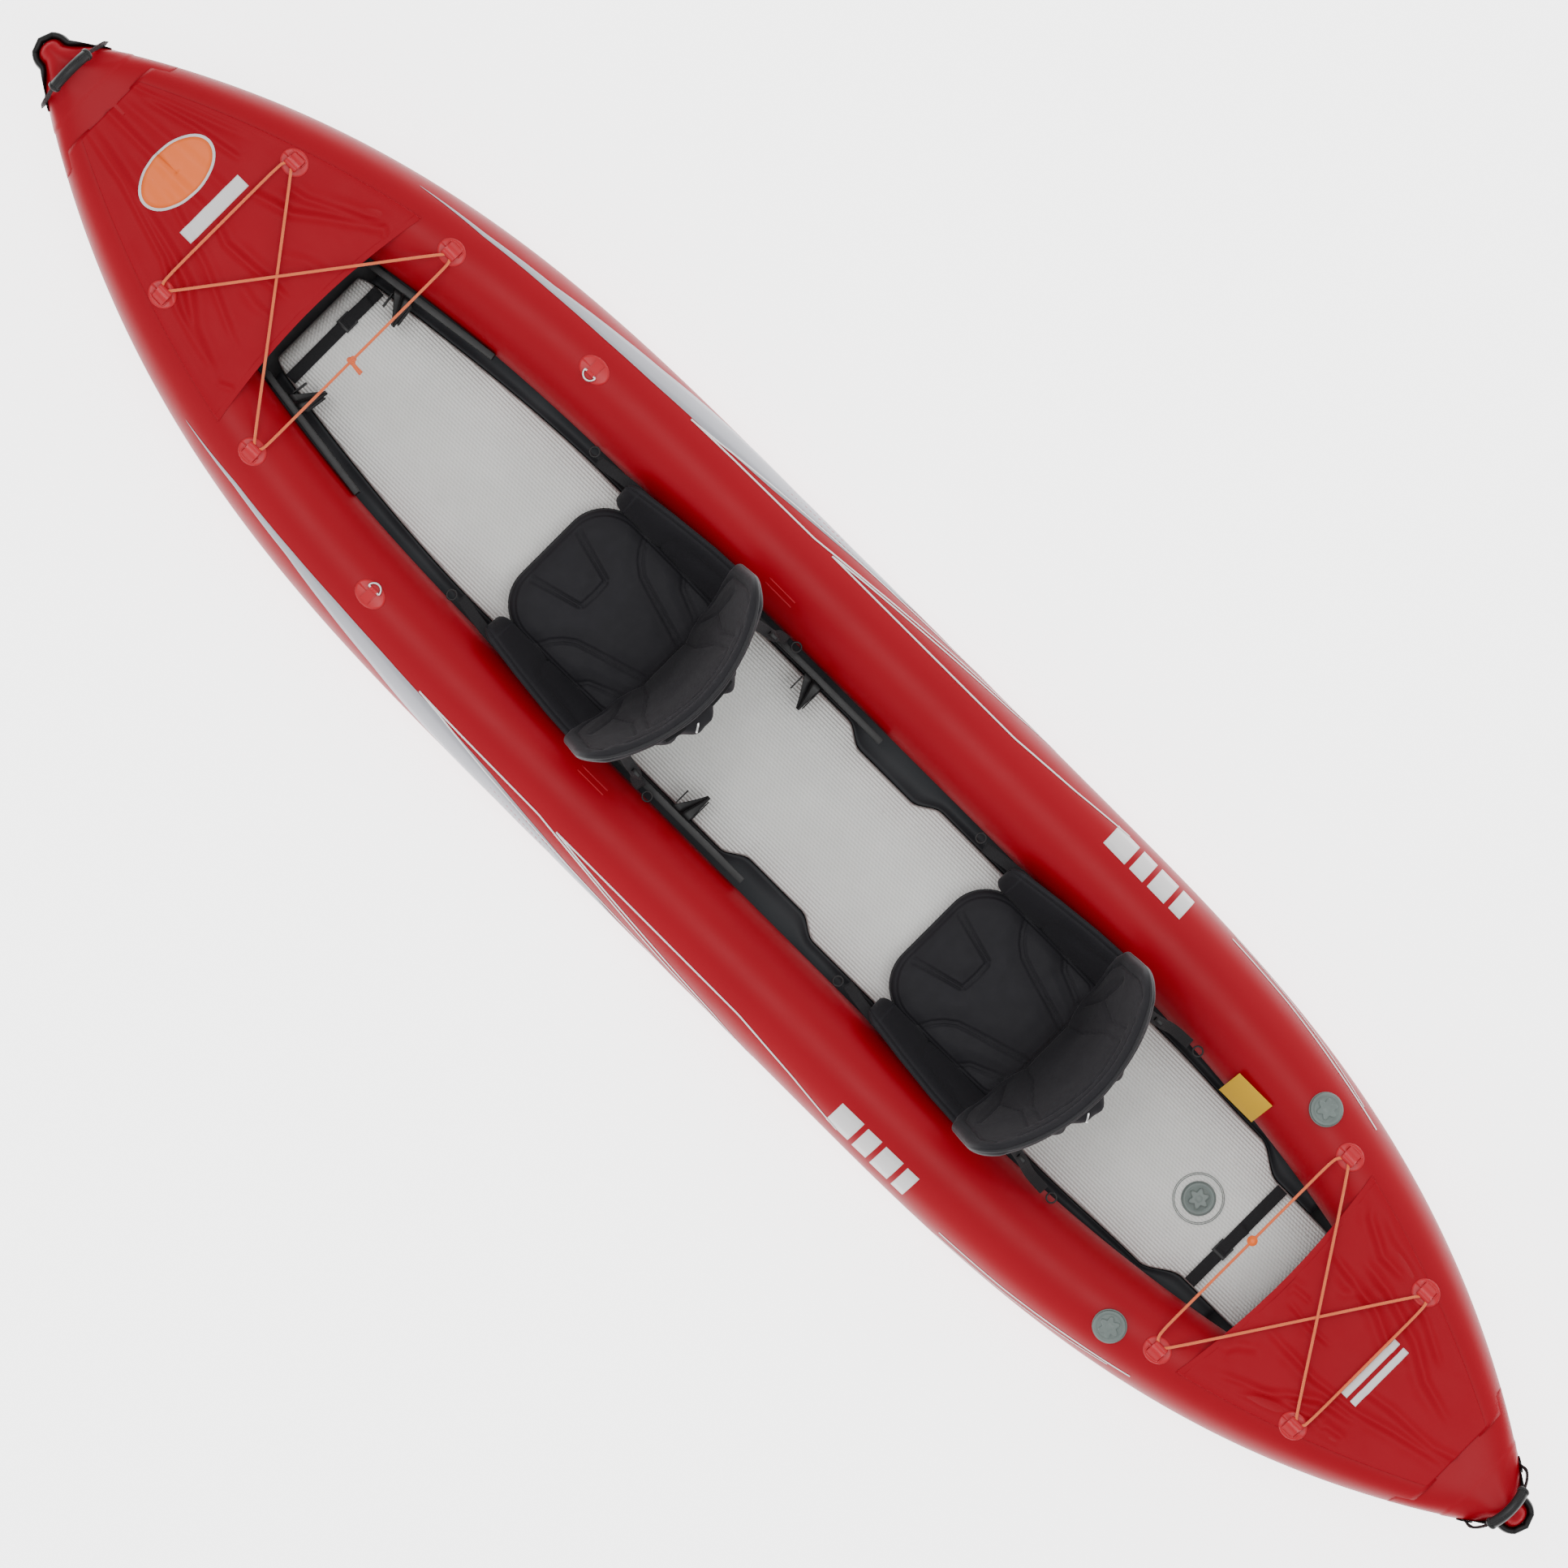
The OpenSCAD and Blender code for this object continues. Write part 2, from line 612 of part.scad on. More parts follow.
side_tube(1);  // port_tube
side_tube(-1);  // starboard_tube
nose_cone(1);  // bow_nose_cone
nose_cone(-1);  // stern_nose_cone
bumper(1);  // bow_bumper
bumper(-1);  // stern_bumper
deck(1, floor_bow, 1299);  // bow_deck
deck(-1, 1394, 1371);  // stern_deck
bottom_sheet();
chine_strips();
bottom_end_panels();
fin_box();
drop_stitch_floor();
drop_stitch_threads();
floor_sleeves();
floor_straps();
strap_buckles();
foot_rails();
pedal(bow_rail, 1, bow_pedal_x);  // bow_port_pedal
pedal(bow_rail, -1, bow_pedal_x);  // bow_starboard_pedal
pedal(mid_rail, 1, mid_pedal_x);  // mid_port_pedal
pedal(mid_rail, -1, mid_pedal_x);  // mid_starboard_pedal
release(bow_rail, 1, bow_pedal_x);  // bow_port_release
release(bow_rail, -1, bow_pedal_x);  // bow_starboard_release
release(mid_rail, 1, mid_pedal_x);  // mid_port_release
release(mid_rail, -1, mid_pedal_x);  // mid_starboard_release
color("orangered") cord(bow_bungee_route, cord_r);  // bow_bungee
color("orangered") cord(stern_bungee_route, cord_r);  // stern_bungee
bungee_anchors();
cord_stoppers();
handle_strap(bow_handle, 0);  // bow_handle_strap
handle_grip(bow_handle, 0);  // bow_handle_grip
handle_strap(stern_handle, -stern_tilt);  // stern_handle_strap
handle_grip(stern_handle, -stern_tilt);  // stern_handle_grip
handle_patches();
d_ring_tabs();
d_ring(1);  // port_d_ring
d_ring(-1);  // starboard_d_ring
valve_bodies();
at_tube_valve(1) valve_cap();  // port_valve_cap
at_tube_valve(-1) valve_cap();  // starboard_valve_cap
at_floor_valve() valve_cap();  // floor_valve_cap
at_tube_valve(1) valve_plunger();  // port_valve_plunger
at_tube_valve(-1) valve_plunger();  // starboard_valve_plunger
at_floor_valve() valve_plunger();  // floor_valve_plunger
at_tube_valve(1) valve_spring();  // port_valve_spring
at_tube_valve(-1) valve_spring();  // starboard_valve_spring
at_floor_valve() valve_spring();  // floor_valve_spring
seat_cushion(front_seat_x);  // front_seat_cushion
seat_wings(front_seat_x);  // front_seat_wings
seat_back(front_seat_x);  // front_seat_back
seat_pouch(front_seat_x);  // front_seat_pouch
seat_straps(front_seat_x, 735, 175);  // front_seat_straps
seat_cushion(rear_seat_x);  // rear_seat_cushion
seat_wings(rear_seat_x);  // rear_seat_wings
seat_back(rear_seat_x);  // rear_seat_back
seat_pouch(rear_seat_x);  // rear_seat_pouch
seat_straps(rear_seat_x, -354, -958);  // rear_seat_straps
seat_anchor_rings();
care_label();
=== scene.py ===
"""Inflatable tandem kayak: its looks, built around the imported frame. Metres; +X bow, +Y port, +Z up."""

import json
import math
import random

import bmesh
import bpy
import numpy as np
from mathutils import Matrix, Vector
from mathutils.bvhtree import BVHTree


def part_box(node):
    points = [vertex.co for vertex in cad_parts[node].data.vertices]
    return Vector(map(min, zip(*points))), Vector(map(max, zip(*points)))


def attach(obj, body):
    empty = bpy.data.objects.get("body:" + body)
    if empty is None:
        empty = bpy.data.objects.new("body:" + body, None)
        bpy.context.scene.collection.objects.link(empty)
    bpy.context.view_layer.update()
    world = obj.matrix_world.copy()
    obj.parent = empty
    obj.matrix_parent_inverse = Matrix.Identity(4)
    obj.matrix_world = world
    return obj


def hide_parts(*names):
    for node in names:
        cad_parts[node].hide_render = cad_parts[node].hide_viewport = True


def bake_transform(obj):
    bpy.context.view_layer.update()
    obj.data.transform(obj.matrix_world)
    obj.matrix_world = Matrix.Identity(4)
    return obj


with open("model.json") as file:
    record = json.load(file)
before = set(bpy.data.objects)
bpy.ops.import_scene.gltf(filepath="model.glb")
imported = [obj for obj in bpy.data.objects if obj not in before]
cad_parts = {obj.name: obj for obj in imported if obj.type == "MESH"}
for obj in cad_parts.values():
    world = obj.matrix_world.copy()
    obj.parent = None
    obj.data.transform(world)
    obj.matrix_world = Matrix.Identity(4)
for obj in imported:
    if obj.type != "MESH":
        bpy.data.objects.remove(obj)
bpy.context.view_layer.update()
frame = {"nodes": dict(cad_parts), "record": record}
BODY = {n: b for b, nodes in frame["record"]["behaviour"]["bodies"].items() for n in nodes}
for leftover in ("Cube", "Light", "Camera"):
    if leftover in bpy.data.objects:
        bpy.data.objects.remove(bpy.data.objects[leftover])

# ---- Driving sizes, as in the CAD model ----

HALF_LENGTH, HALF_WIDTH, TIP_HALF = 2.078, 0.43, 0.008
TUBE_R, NOSE_R, TUBE_Z = 0.1075, 0.044, 0.123
BOW_START, STERN_START, RISE_START = 0.45, 0.5, 0.85
BOW_RISE, STERN_RISE = 0.175, 0.145
TUBE_END, TIP_R, BUMPER_START = 1.88, 0.042, 1.99
FLOOR_LOW, FLOOR_TOP = (float(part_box("drop_stitch_floor")[i][2]) for i in (0, 1))
FLOOR_STERN, FLOOR_BOW = (float(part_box("drop_stitch_floor")[i][0]) for i in (0, 1))
SEAT_X = {s: float(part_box(s + "_seat_cushion")[0][0]) for s in ("front", "rear")}
SEAT_Z, CUSHION_TOP = (float(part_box("front_seat_cushion")[i][2]) for i in (0, 1))
CUSHION_LEN, CUSHION_HALF = 0.336, 0.16
HINGE_AFT, HINGE_Z = 0.008, 0.1718
BACK_R, BACK_T, BACK_H, BACK_LEAN = 0.355, 0.024, 0.35, math.radians(18)


def taper(x):
    if x > BOW_START:
        return (x - BOW_START) / (HALF_LENGTH - BOW_START)
    return max(0.0, (-x - STERN_START) / (HALF_LENGTH - STERN_START))


def half_width(x):
    return TIP_HALF + (HALF_WIDTH - TIP_HALF) * (1 - taper(x) ** 2.86)


def tube_r(x):
    return TUBE_R - (TUBE_R - NOSE_R) * taper(x) ** 3.5


def tube_y(x):
    return half_width(x) - tube_r(x)


def centre_z(x):
    run = max(0.0, abs(x) - RISE_START) / (HALF_LENGTH - RISE_START)
    return TUBE_Z + (BOW_RISE if x > 0 else STERN_RISE) * run ** 2.2


def top_z(x):
    return centre_z(x) + tube_r(x)


def smooth(v):
    c = min(1.0, max(0.0, v))
    return c * c * (3 - 2 * c)


def on_tube(x, side, degrees, lift=0.0):
    """A point on a tube's skin. 0 degrees is its top, 90 its outer side, -90 its inner side."""
    a = math.radians(degrees)
    r = tube_r(x) + lift
    return (x, side * (tube_y(x) + r * math.sin(a)), centre_z(x) + r * math.cos(a))


def side_name(side):
    return "port" if side > 0 else "starboard"


def end_name(end):
    return "bow" if end > 0 else "stern"


def through(x, xs, values):
    """The value at x on straight runs between a few chosen points."""
    order = np.argsort(xs)
    return float(np.interp(x, np.array(xs)[order], np.array(values)[order]))


# ---- Mesh helpers ----


def mesh_object(name, points, faces, material, shade=True):
    mesh = bpy.data.meshes.new(name)
    mesh.from_pydata([tuple(map(float, p)) for p in points], [], faces)
    mesh.update()
    obj = bpy.data.objects.new(name, mesh)
    bpy.context.scene.collection.objects.link(obj)
    mesh.materials.append(material)
    if shade:
        mesh.polygons.foreach_set("use_smooth", [True] * len(mesh.polygons))
    return obj


def grid_faces(rows, cols, wrap=False):
    last = cols if wrap else cols - 1
    return [(r * cols + c, r * cols + (c + 1) % cols, (r + 1) * cols + (c + 1) % cols, (r + 1) * cols + c)
            for r in range(rows - 1) for c in range(last)]


def sheet_object(name, grid, material, thickness=0.0008):
    """A thin closed sheet from rows of points."""
    rows, cols = len(grid), len(grid[0])
    obj = mesh_object(name, [p for row in grid for p in row], grid_faces(rows, cols), material)
    solid = obj.modifiers.new("thickness", "SOLIDIFY")
    solid.thickness = thickness
    solid.offset = 0
    return applied(obj)


def ring_object(name, rings, material):
    """A closed solid from rings, capped with a fan at each end."""
    n = len(rings[0])
    points = [p for ring in rings for p in ring]
    faces = grid_faces(len(rings), n, wrap=True)
    for base, flip in ((0, False), ((len(rings) - 1) * n, True)):
        middle = len(points)
        points.append(tuple(np.mean(np.array(points[base:base + n]), axis=0)))
        fan = [(base + (k + 1) % n, base + k, middle) for k in range(n)]
        faces += [tuple(reversed(f)) for f in fan] if flip else fan
    obj = mesh_object(name, points, faces, material)
    return outward(obj)


def outward(obj):
    """The same solid with every face turned outward."""
    bm = bmesh.new()
    bm.from_mesh(obj.data)
    bmesh.ops.recalc_face_normals(bm, faces=bm.faces)
    bm.to_mesh(obj.data)
    bm.free()
    return obj


def applied(obj):
    """The object with its modifiers made real."""
    graph = bpy.context.evaluated_depsgraph_get()
    mesh = bpy.data.meshes.new_from_object(obj.evaluated_get(graph))
    obj.modifiers.clear()
    obj.data = mesh
    return obj


def path_frames(path):
    p = np.array(path, float)
    t = np.gradient(p, axis=0)
    t /= np.linalg.norm(t, axis=1)[:, None]
    side = np.cross(t, (0, 0, 1.0))
    length = np.linalg.norm(side, axis=1)
    side[length < 1e-6] = (1, 0, 0)
    side /= np.linalg.norm(side, axis=1)[:, None]
    return p, t, side, np.cross(side, t)


def rounded_path(path, step=0.01, ease=2):
    """The path with its corners eased and points a step apart."""
    p = np.array(path, float)
    for _ in range(ease):
        cut = [p[0]]
        for a, b in zip(p[:-1], p[1:]):
            cut += [a * 0.8 + b * 0.2, a * 0.2 + b * 0.8]
        p = np.array(cut + [p[-1]])
    run = np.concatenate([[0], np.cumsum(np.linalg.norm(np.diff(p, axis=0), axis=1))])
    count = max(3, int(run[-1] / step))
    at = np.linspace(0, run[-1], count)
    return np.array([np.interp(at, run, p[:, k]) for k in range(3)]).T


def cord_object(name, path, radius, material, sides=14):
    p, _, side, up = path_frames(path)
    angles = [2 * math.pi * k / sides for k in range(sides)]
    rings = [[tuple(p[i] + radius * (math.cos(a) * side[i] + math.sin(a) * up[i])) for a in angles]
             for i in range(len(p))]
    return ring_object(name, rings, material)


def strap_object(name, path, width, material, thickness=0.0018, flat=True):
    """Webbing along a path, lying flat or standing on edge, with rounded edges."""
    p, _, side, up = path_frames(path)
    section = [(math.cos(a), math.sin(a)) for a in np.linspace(0, 2 * math.pi, 16, endpoint=False)]
    rings = []
    for i in range(len(p)):
        across, deep = (side[i], up[i]) if flat else (up[i], side[i])
        rings.append([tuple(p[i] + across * width / 2 * math.copysign(abs(c) ** 0.35, c)
                            + deep * thickness / 2 * math.copysign(abs(q) ** 0.5, q)) for c, q in section])
    return ring_object(name, rings, material)


def placed(obj, body, slot, *nodes):
    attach(obj, body)
    if nodes:
        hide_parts(*nodes)
    return obj


def softened(node, width, material, slot):
    """A CAD piece with its edges rounded."""
    source = frame["nodes"][node]
    obj = bpy.data.objects.new(node + "_finished", source.data.copy())
    bpy.context.scene.collection.objects.link(obj)
    weld = obj.modifiers.new("weld", "WELD")
    weld.merge_threshold = 0.00002
    flat = obj.modifiers.new("flat", "DECIMATE")
    flat.decimate_type = "DISSOLVE"
    flat.angle_limit = math.radians(1)
    bevel = obj.modifiers.new("edges", "BEVEL")
    bevel.width = width
    bevel.segments = 2
    bevel.limit_method = "ANGLE"
    bevel.angle_limit = math.radians(40)
    applied(obj)
    obj.data.materials.clear()
    obj.data.materials.append(material)
    obj.data.polygons.foreach_set("use_smooth", [True] * len(obj.data.polygons))
    obj.data.set_sharp_from_angle(angle=math.radians(35))
    return placed(obj, BODY[node], slot, node)


# ---- Materials ----


class Shader:
    """A material with short calls for its nodes."""

    def __init__(self, name, color, roughness, **sockets):
        self.material = bpy.data.materials.new(name)
        self.material.use_nodes = True
        self.tree = self.material.node_tree
        self.bsdf = self.tree.nodes["Principled BSDF"]
        self.bsdf.inputs["Base Color"].default_value = (*color, 1)
        self.bsdf.inputs["Roughness"].default_value = roughness
        self.color = color
        for socket, value in sockets.items():
            self.bsdf.inputs[socket.replace("_", " ")].default_value = value
        self.place = self.add("ShaderNodeTexCoord").outputs["Object"]
        self.height = None

    def add(self, kind, **settings):
        n = self.tree.nodes.new(kind)
        for key, value in settings.items():
            setattr(n, key, value)
        return n

    def link(self, out, into):
        self.tree.links.new(out, into)

    def math(self, operation, a, b=None):
        n = self.add("ShaderNodeMath", operation=operation)
        for socket, value in zip(n.inputs, (a, b)):
            if value is None:
                continue
            if isinstance(value, (int, float)):
                socket.default_value = value
            else:
                self.link(value, socket)
        return n.outputs[0]

    def noise(self, scale, detail=3, stretch=(1, 1, 1), rough=0.5):
        mapping = self.add("ShaderNodeMapping")
        mapping.inputs["Scale"].default_value = stretch
        self.link(self.place, mapping.inputs["Vector"])
        n = self.add("ShaderNodeTexNoise")
        n.inputs["Scale"].default_value = scale
        n.inputs["Detail"].default_value = detail
        n.inputs["Roughness"].default_value = rough
        self.link(mapping.outputs[0], n.inputs["Vector"])
        return n.outputs["Fac"]

    def axis(self, name):
        split = self.add("ShaderNodeSeparateXYZ")
        self.link(self.place, split.inputs[0])
        return split.outputs[name]

    def ripple(self, value, pitch, shift=0.0):
        turned = self.math("ADD", self.math("MULTIPLY", value, 2 * math.pi / pitch), shift)
        return self.math("SINE", turned)

    def vary_color(self, factor, low, high):
        mix = self.add("ShaderNodeMix", data_type="RGBA")
        mix.inputs[6].default_value = (*low, 1)
        mix.inputs[7].default_value = (*high, 1)
        self.link(factor, mix.inputs[0])
        self.link(mix.outputs[2], self.bsdf.inputs["Base Color"])
        return self

    def vary_roughness(self, factor, low, high):
        spread = self.add("ShaderNodeMapRange")
        spread.inputs["To Min"].default_value = low
        spread.inputs["To Max"].default_value = high
        self.link(factor, spread.inputs["Value"])
        self.link(spread.outputs[0], self.bsdf.inputs["Roughness"])
        return self

    def bump(self, height, distance, strength=1.0):
        n = self.add("ShaderNodeBump")
        n.inputs["Distance"].default_value = distance
        n.inputs["Strength"].default_value = strength
        self.link(height, n.inputs["Height"])
        if self.height is not None:
            self.link(self.height, n.inputs["Normal"])
        self.height = n.outputs[0]
        self.link(self.height, self.bsdf.inputs["Normal"])
        return self


def toned(color, by):
    return tuple(min(1.0, c * by) for c in color)


def coated_cloth(name, color, roughness, grain=0.00006, coat=0.0, gloss=0.32):
    """Coated boat cloth: fine grain, soft bumps, and handling marks."""
    s = Shader(name, color, roughness, Coat_Weight=coat, Coat_Roughness=0.3, Specular_IOR_Level=gloss)
    s.vary_color(s.noise(3.0, 4), toned(color, 0.9), toned(color, 1.08))
    s.vary_roughness(s.noise(14.0, 5), roughness - 0.06, roughness + 0.1)
    s.bump(s.noise(900, 2), grain, 0.5)
    s.bump(s.noise(22, 3), 0.0012, 0.25)
    return s.material


def webbing_material():
    s = Shader("black_webbing", (0.008, 0.008, 0.009), 0.62, Sheen_Weight=0.05, Specular_IOR_Level=0.25)
    weave = s.math("MULTIPLY", s.ripple(s.math("ADD", s.axis("X"), s.axis("Z")), 0.0026),
                   s.ripple(s.math("ADD", s.axis("Y"), s.axis("Z")), 0.0026))
    s.vary_color(s.noise(400, 2), (0.005, 0.005, 0.006), (0.016, 0.016, 0.018))
    s.bump(weave, 0.0004, 0.8)
    return s.material


def moulded(name, color, roughness=0.42):
    s = Shader(name, color, roughness, Specular_IOR_Level=0.35)
    s.vary_color(s.noise(30, 4), toned(color, 0.8), toned(color, 1.25))
    s.vary_roughness(s.noise(60, 5), roughness - 0.08, roughness + 0.12)
    s.bump(s.noise(1400, 2), 0.00008, 0.6)
    return s.material


def floor_material(name, ribbed):
    color = (0.6, 0.6, 0.575)
    s = Shader(name, color, 0.55)
    s.vary_color(s.noise(6, 5), (0.54, 0.54, 0.52), (0.64, 0.64, 0.615))
    if ribbed:
        rib = s.ripple(s.axis("Y"), 0.0068)
        row = s.math("MULTIPLY", s.math("FLOOR", s.math("DIVIDE", s.axis("Y"), 0.0034)), 1.9)
        dash = s.math("SINE", s.math("ADD", s.math("MULTIPLY", s.axis("X"), 2 * math.pi / 0.0085), row))
        knit = s.math("ADD", rib, s.math("MULTIPLY", dash, 0.55))
        # Painted shade: the colour follows the knit's relief, so the rib grooves and dash breaks are painted
        # darker and the crests lighter, mixed with a tone that differs at random.
        shade = s.math("ADD", s.math("MULTIPLY", knit, 0.22), s.math("MULTIPLY", s.noise(7, 5), 0.9))
        s.vary_color(shade, (0.58, 0.58, 0.56), (0.84, 0.84, 0.815))
        s.bump(knit, 0.0011, 0.7)
    s.bump(s.noise(16, 3), 0.003, 0.2)
    return s.material


def seat_material():
    color = (0.0085, 0.008, 0.0105)
    s = Shader("seat_cloth", color, 0.6, Sheen_Weight=0.04, Sheen_Roughness=0.5, Specular_IOR_Level=0.22)
    knit = s.math("MULTIPLY", s.ripple(s.axis("X"), 0.0016), s.ripple(s.axis("Y"), 0.0016))
    s.vary_color(s.noise(9, 4), (0.007, 0.0066, 0.0088), (0.011, 0.0104, 0.0136))
    s.vary_roughness(s.noise(35, 4), 0.5, 0.7)
    s.bump(knit, 0.00018, 0.5)
    s.bump(s.noise(60, 3), 0.0006, 0.25)
    return s.material


def braided(name, color):
    s = Shader(name, color, 0.6, Sheen_Weight=0.3)
    turn = s.math("ADD", s.axis("X"), s.math("ADD", s.axis("Y"), s.math("MULTIPLY", s.axis("Z"), 2.0)))
    other = s.math("SUBTRACT", s.axis("X"), s.axis("Y"))
    plait = s.math("MULTIPLY", s.ripple(turn, 0.0042), s.ripple(other, 0.0042))
    # Painted shade: the colour follows the plait's relief, painted darker in the grooves between strands and
    # lighter on their crests.
    s.vary_color(s.math("ADD", s.math("MULTIPLY", plait, 0.5), 0.5), toned(color, 0.72), toned(color, 1.1))
    s.bump(plait, 0.0005, 0.7)
    return s.material


def metal(name, color=(0.62, 0.62, 0.61)):
    s = Shader(name, color, 0.28, Metallic=1.0)
    s.vary_roughness(s.noise(160, 4, (1, 6, 6)), 0.18, 0.42)
    s.bump(s.noise(700, 2), 0.00003, 0.5)
    return s.material


RED = coated_cloth("red_coated_cloth", (0.3, 0.0003, 0.0085), 0.42, gloss=0.16)
DECK_RED = coated_cloth("red_deck_cloth", (0.3, 0.0006, 0.009), 0.5, gloss=0.12)
PATCH_RED = coated_cloth("red_patch", (0.47, 0.008, 0.018), 0.34)
BOTTOM = coated_cloth("grey_bottom_cloth", (0.05, 0.052, 0.056), 0.6)
SLEEVE = coated_cloth("grey_sleeve_cloth", (0.022, 0.024, 0.027), 0.55, gloss=0.2)
SILVER = coated_cloth("silver_print", (0.4, 0.4, 0.44), 0.42)
WHITE = coated_cloth("white_print", (0.72, 0.7, 0.7), 0.45)
ORANGE_PRINT = coated_cloth("orange_print", (0.86, 0.15, 0.02), 0.45)
RUBBER = coated_cloth("black_rubber", (0.0065, 0.0065, 0.007), 0.45, gloss=0.25)
FLOOR_TOP_CLOTH = floor_material("floor_ribbed_cloth", True)
FLOOR_SIDE = floor_material("floor_side_cloth", False)
WEBBING = webbing_material()
PLASTIC = moulded("black_plastic", (0.0075, 0.0075, 0.008))
CAP_GREY = moulded("valve_grey", (0.135, 0.165, 0.155), 0.4)
WHITE_PLASTIC = moulded("white_plastic", (0.7, 0.7, 0.69))
ORANGE_PLASTIC = moulded("orange_plastic", (0.9, 0.14, 0.015), 0.35)
ORANGE_CORD = braided("orange_cord", (0.92, 0.16, 0.035))
SEAT = seat_material()
STEEL = metal("steel")
LABEL = coated_cloth("yellow_label", (0.72, 0.42, 0.02), 0.5)
THREAD = braided("thread", (0.75, 0.75, 0.72))

# ---- Camera, lights and floor ----

CAMERA_Z, VIEW_WIDTH, TIP_Z = 12.0, 3.091, 0.29
camera = bpy.data.objects.new("camera", bpy.data.cameras.new("camera"))
bpy.context.scene.collection.objects.link(camera)
camera.location = (0, 0, CAMERA_Z)
camera.rotation_euler = (0, 0, math.radians(-135))
camera.data.sensor_width = 36
camera.data.lens = 36 * (CAMERA_Z - TIP_Z) / VIEW_WIDTH
camera.data.clip_end = 60
bpy.context.scene.camera = camera


def area_light(name, where, turn, size, power):
    light = bpy.data.lights.new(name, "AREA")
    light.shape = "RECTANGLE"
    light.size, light.size_y = size
    light.energy = power
    obj = bpy.data.objects.new(name, light)
    obj.location = where
    obj.rotation_euler = [math.radians(a) for a in turn]
    bpy.context.scene.collection.objects.link(obj)


area_light("top_softbox", (0, 0, 7.0), (0, 0, 0), (10.0, 2.4), 330)
area_light("port_fill", (0.8, 4.5, 3.4), (-55, 0, 0), (5.0, 2.5), 40)
area_light("starboard_fill", (-0.8, -4.5, 3.4), (55, 0, 0), (5.0, 2.5), 40)
world = bpy.context.scene.world or bpy.data.worlds.new("studio")
bpy.context.scene.world = world
world.use_nodes = True
world.node_tree.nodes["Background"].inputs["Color"].default_value = (1, 1, 1, 1)
world.node_tree.nodes["Background"].inputs["Strength"].default_value = 0.8

STUDIO = Shader("studio_floor", (0.95, 0.95, 0.95), 0.9, Emission_Color=(1, 1, 1, 1), Emission_Strength=3.2)
STUDIO.bump(STUDIO.noise(3), 0.0005, 0.1)
SIDE = 14.0
stage = mesh_object("studio_floor", [(-SIDE, -SIDE, 0), (SIDE, -SIDE, 0), (SIDE, SIDE, 0), (-SIDE, SIDE, 0)],
                    [(0, 1, 2, 3)], STUDIO.material, shade=False)

# ---- Side tubes: each a smooth skin with its welded tapes standing a little proud ----

TUBE_SIDES = 96
SEAM_FROM, SEAM_TO, SEAM_LIFT = -84, -61, 0.0007


def seam_lift(degrees):
    """The weld tape that joins the tube to the bottom and floor sleeve, on its inner side."""
    return SEAM_LIFT * smooth((degrees - SEAM_FROM + 2) / 2) * smooth((SEAM_TO + 2 - degrees) / 2)


def tube_skin(side):
    rings = []
    for x in np.linspace(-TUBE_END, TUBE_END, 420):
        turns = np.linspace(-180, 180, TUBE_SIDES, endpoint=False)
        rings.append([on_tube(x, side, d, seam_lift(d)) for d in turns])
    name = side_name(side) + "_tube"
    return placed(ring_object(name + "_skin", rings, RED), "hull", "tube_skin", name)


def superellipse(a, power):
    return math.copysign(abs(math.cos(a)) ** (2 / power), math.cos(a)), \
        math.copysign(abs(math.sin(a)) ** (2 / power), math.sin(a))


def outline(x):
    return max(half_width(x), math.sqrt(max(0.0, TIP_R ** 2 - (abs(x) - 2.036) ** 2)))


def nose_section(x, lift=0.0):
    """Half-width and half-height of the nose where the two tubes run together."""
    run = (abs(x) - BUMPER_START) / 0.088
    height = tube_r(x) * math.sqrt(max(0.02, 1 - max(0.0, run) ** 2.4))
    return outline(x) - 0.014 * smooth((abs(x) - BUMPER_START + 0.012) / 0.055) + lift, height + lift


def nose(end, patch_start):
    rings = []
    for d in np.linspace(TUBE_END - 0.03, 2.0605, 60):
        x = end * d
        lift = 0.0016 * smooth((d - patch_start) / 0.003) - 0.0005
        w, h = nose_section(x, lift)
        if d > 2.045:
            shrink = math.sqrt(max(0.0, 1 - ((d - 2.045) / 0.0162) ** 2))
            w, h = w * (0.35 + 0.65 * shrink), h * (0.2 + 0.8 * shrink)
        power = 2.0 + 1.1 * smooth((1.99 - d) / 0.11)
        ring = []
        for a in np.linspace(0, 2 * math.pi, 72, endpoint=False):
            c, s = superellipse(a, power)
            pucker = 0.0012 * math.sin(9 * a + 40 * d)
            pucker *= smooth((d - patch_start) / 0.03) * smooth((2.02 - d) / 0.03)
            ring.append((x, (w + pucker) * c, centre_z(x) + (h + pucker) * s))
        rings.append(ring)
    name = end_name(end) + "_nose_cone"
    return placed(ring_object(name + "_skin", rings, RED), "hull", "tube_skin", name)


